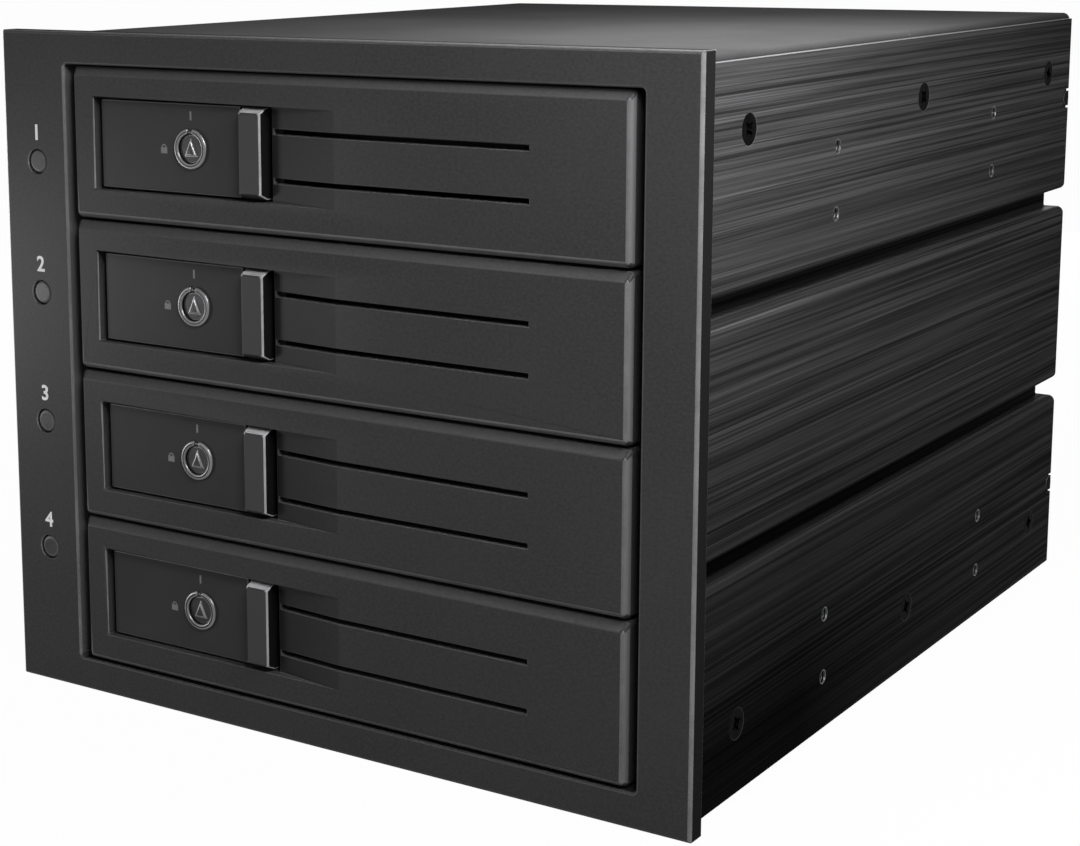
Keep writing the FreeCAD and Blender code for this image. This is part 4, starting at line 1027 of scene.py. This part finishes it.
def arcBand(x, z, inner, outer, start, end, steps=12):
    turns = [math.radians(start + (end - start) * i / steps) for i in range(steps + 1)]
    ring = [(x + outer * math.cos(t), z + outer * math.sin(t)) for t in turns]
    return ring + [(x + inner * math.cos(t), z + inner * math.sin(t)) for t in reversed(turns)]


for bay in range(1, bays + 1):
    low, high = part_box(f"lock_collar_{bay}")
    centre = (low + high) / 2 / mm
    face = low.y + (markLook["collarRise"] + markLook["sunk"]) * mm
    inner, outer = (markLook["shackle"] + side * markLook["line"] / 2 for side in (-1, 1))
    left = centre.x - markLook["lockLeft"]
    outlines = [box2d(centre.x, centre.z + markLook["barRise"], markLook["barWide"], markLook["barHigh"]),
                box2d(left, centre.z - markLook["lockHigh"] / 2, markLook["lockWide"], markLook["lockHigh"]),
                arcBand(left, centre.z, inner, outer, 0, 180)]
    marks = plateMesh(f"lockMarks{bay}", outlines, face, markLook["proud"] + markLook["sunk"])
    addPiece(f"lockMarks{bay}", marks, "mark", f"pull_{bay}")
print("lock marks set")


# stage, lights and camera
stageLook = {"floor": 120, "half": 4.0, "below": 0.2, "cameraShare": 0.98, "ambient": 0.36}


# 1 for rays that see the background straight on, mirrored or through glass
def behindRays(g):
    rays = g.tree.nodes.new("ShaderNodeLightPath")
    camera = Signal(g, rays.outputs["Is Camera Ray"])
    glossy = Signal(g, rays.outputs["Is Glossy Ray"])
    through = Signal(g, rays.outputs["Is Transmission Ray"])
    return g.ramp(camera + glossy + through, 0.0, 1.0)


def addFloor():
    mesh = bpy.data.meshes.new("floor")
    half = stageLook["half"]
    mesh.from_pydata([(-half, -half, 0), (half, -half, 0), (half, half, 0), (-half, half, 0)], [], [(0, 1, 2, 3)])
    floor = bpy.data.objects.new("floor", mesh)
    floor.location.z = cadBounds[0][2] - stageLook["below"] * mm
    bpy.context.scene.collection.objects.link(floor)
    material, g = emptyMaterial("paleFloor")
    drift = g.noise(g.place(3), 3.0)
    colour = g.blend(g.ramp(drift, 0.3, 0.7), grey(stageLook["floor"]), grey(stageLook["floor"] + 5))
    matt = g.node("ShaderNodeBsdfPrincipled", None, {"Base Color": colour, "Roughness": 0.9,
                                                     "Specular IOR Level": 0.0})
    white = g.node("ShaderNodeEmission", None, {"Color": (1, 1, 1, 1), "Strength": 1.0})
    share = behindRays(g) * stageLook["cameraShare"]
    mixed = g.node("ShaderNodeMixShader", None, {0: share, 1: matt, 2: white})
    g.node("ShaderNodeOutputMaterial", None, {"Surface": mixed})
    mesh.materials.append(material)


addFloor()
world = bpy.data.worlds.new("studio")
bpy.context.scene.world = world
world.use_nodes = True
world.node_tree.nodes.clear()
sky = Graph(world.node_tree)
level = sky.ramp(behindRays(sky), 0.0, 1.0, stageLook["ambient"], 1.0)
shine = sky.node("ShaderNodeBackground", None, {"Color": (1, 1, 1, 1), "Strength": level})
sky.node("ShaderNodeOutputWorld", None, {"Surface": shine})

lamps = {
    "key": {"at": (0.2, -0.25, 0.28), "aim": (0.05, -0.08, 0.08), "size": 0.1, "power": 0.95},
    "fill": {"at": (-0.28, -0.27, 0.035), "aim": (-0.06, -0.1, 0.0), "size": 0.07, "power": 0.44},
    "lidGlow": {"at": (0.062, -0.055, 0.222), "aim": (0.062, -0.055, 0.12), "size": 0.05, "power": 1.5},
    "sideGlow": {"at": (0.16, -0.13, 0.2), "aim": (0.074, -0.08, 0.1), "size": 0.05, "power": 0.42},
    "rearSoft": {"at": (-0.15, 0.6, 0.11), "aim": (0.0, 0.1, 0.06), "size": 0.2, "power": 4.4},
    "leftSoft": {"at": (-0.6, 0.12, 0.1), "aim": (-0.07, 0.0, 0.06), "size": 0.2, "power": 2.8},
}
for name, lamp in lamps.items():
    light = bpy.data.lights.new(name, "AREA")
    light.shape = "SQUARE"
    light.size = lamp["size"]
    light.energy = lamp["power"]
    holder = bpy.data.objects.new(name, light)
    holder.location = lamp["at"]
    holder.rotation_euler = (Vector(lamp["aim"]) - Vector(lamp["at"])).to_track_quat("-Z", "Y").to_euler()
    holder.visible_camera = False
    bpy.context.scene.collection.objects.link(holder)

cameraLook = {"at": (0.22271, -0.40373, 0.14734), "turn": (80.315, 0.383, 34.774), "lens": 72.263,
              "shift": (0.1454, -0.1197)}
lens = bpy.data.cameras.new("camera")
lens.sensor_width = 36
lens.lens = cameraLook["lens"]
lens.shift_x, lens.shift_y = cameraLook["shift"]
lens.clip_start = 0.01
camera = bpy.data.objects.new("camera", lens)
camera.location = cameraLook["at"]
camera.rotation_euler = Euler([math.radians(angle) for angle in cameraLook["turn"]])
bpy.context.scene.collection.objects.link(camera)
bpy.context.scene.camera = camera
bpy.context.scene.view_settings.view_transform = "Standard"
print("stage and camera set")
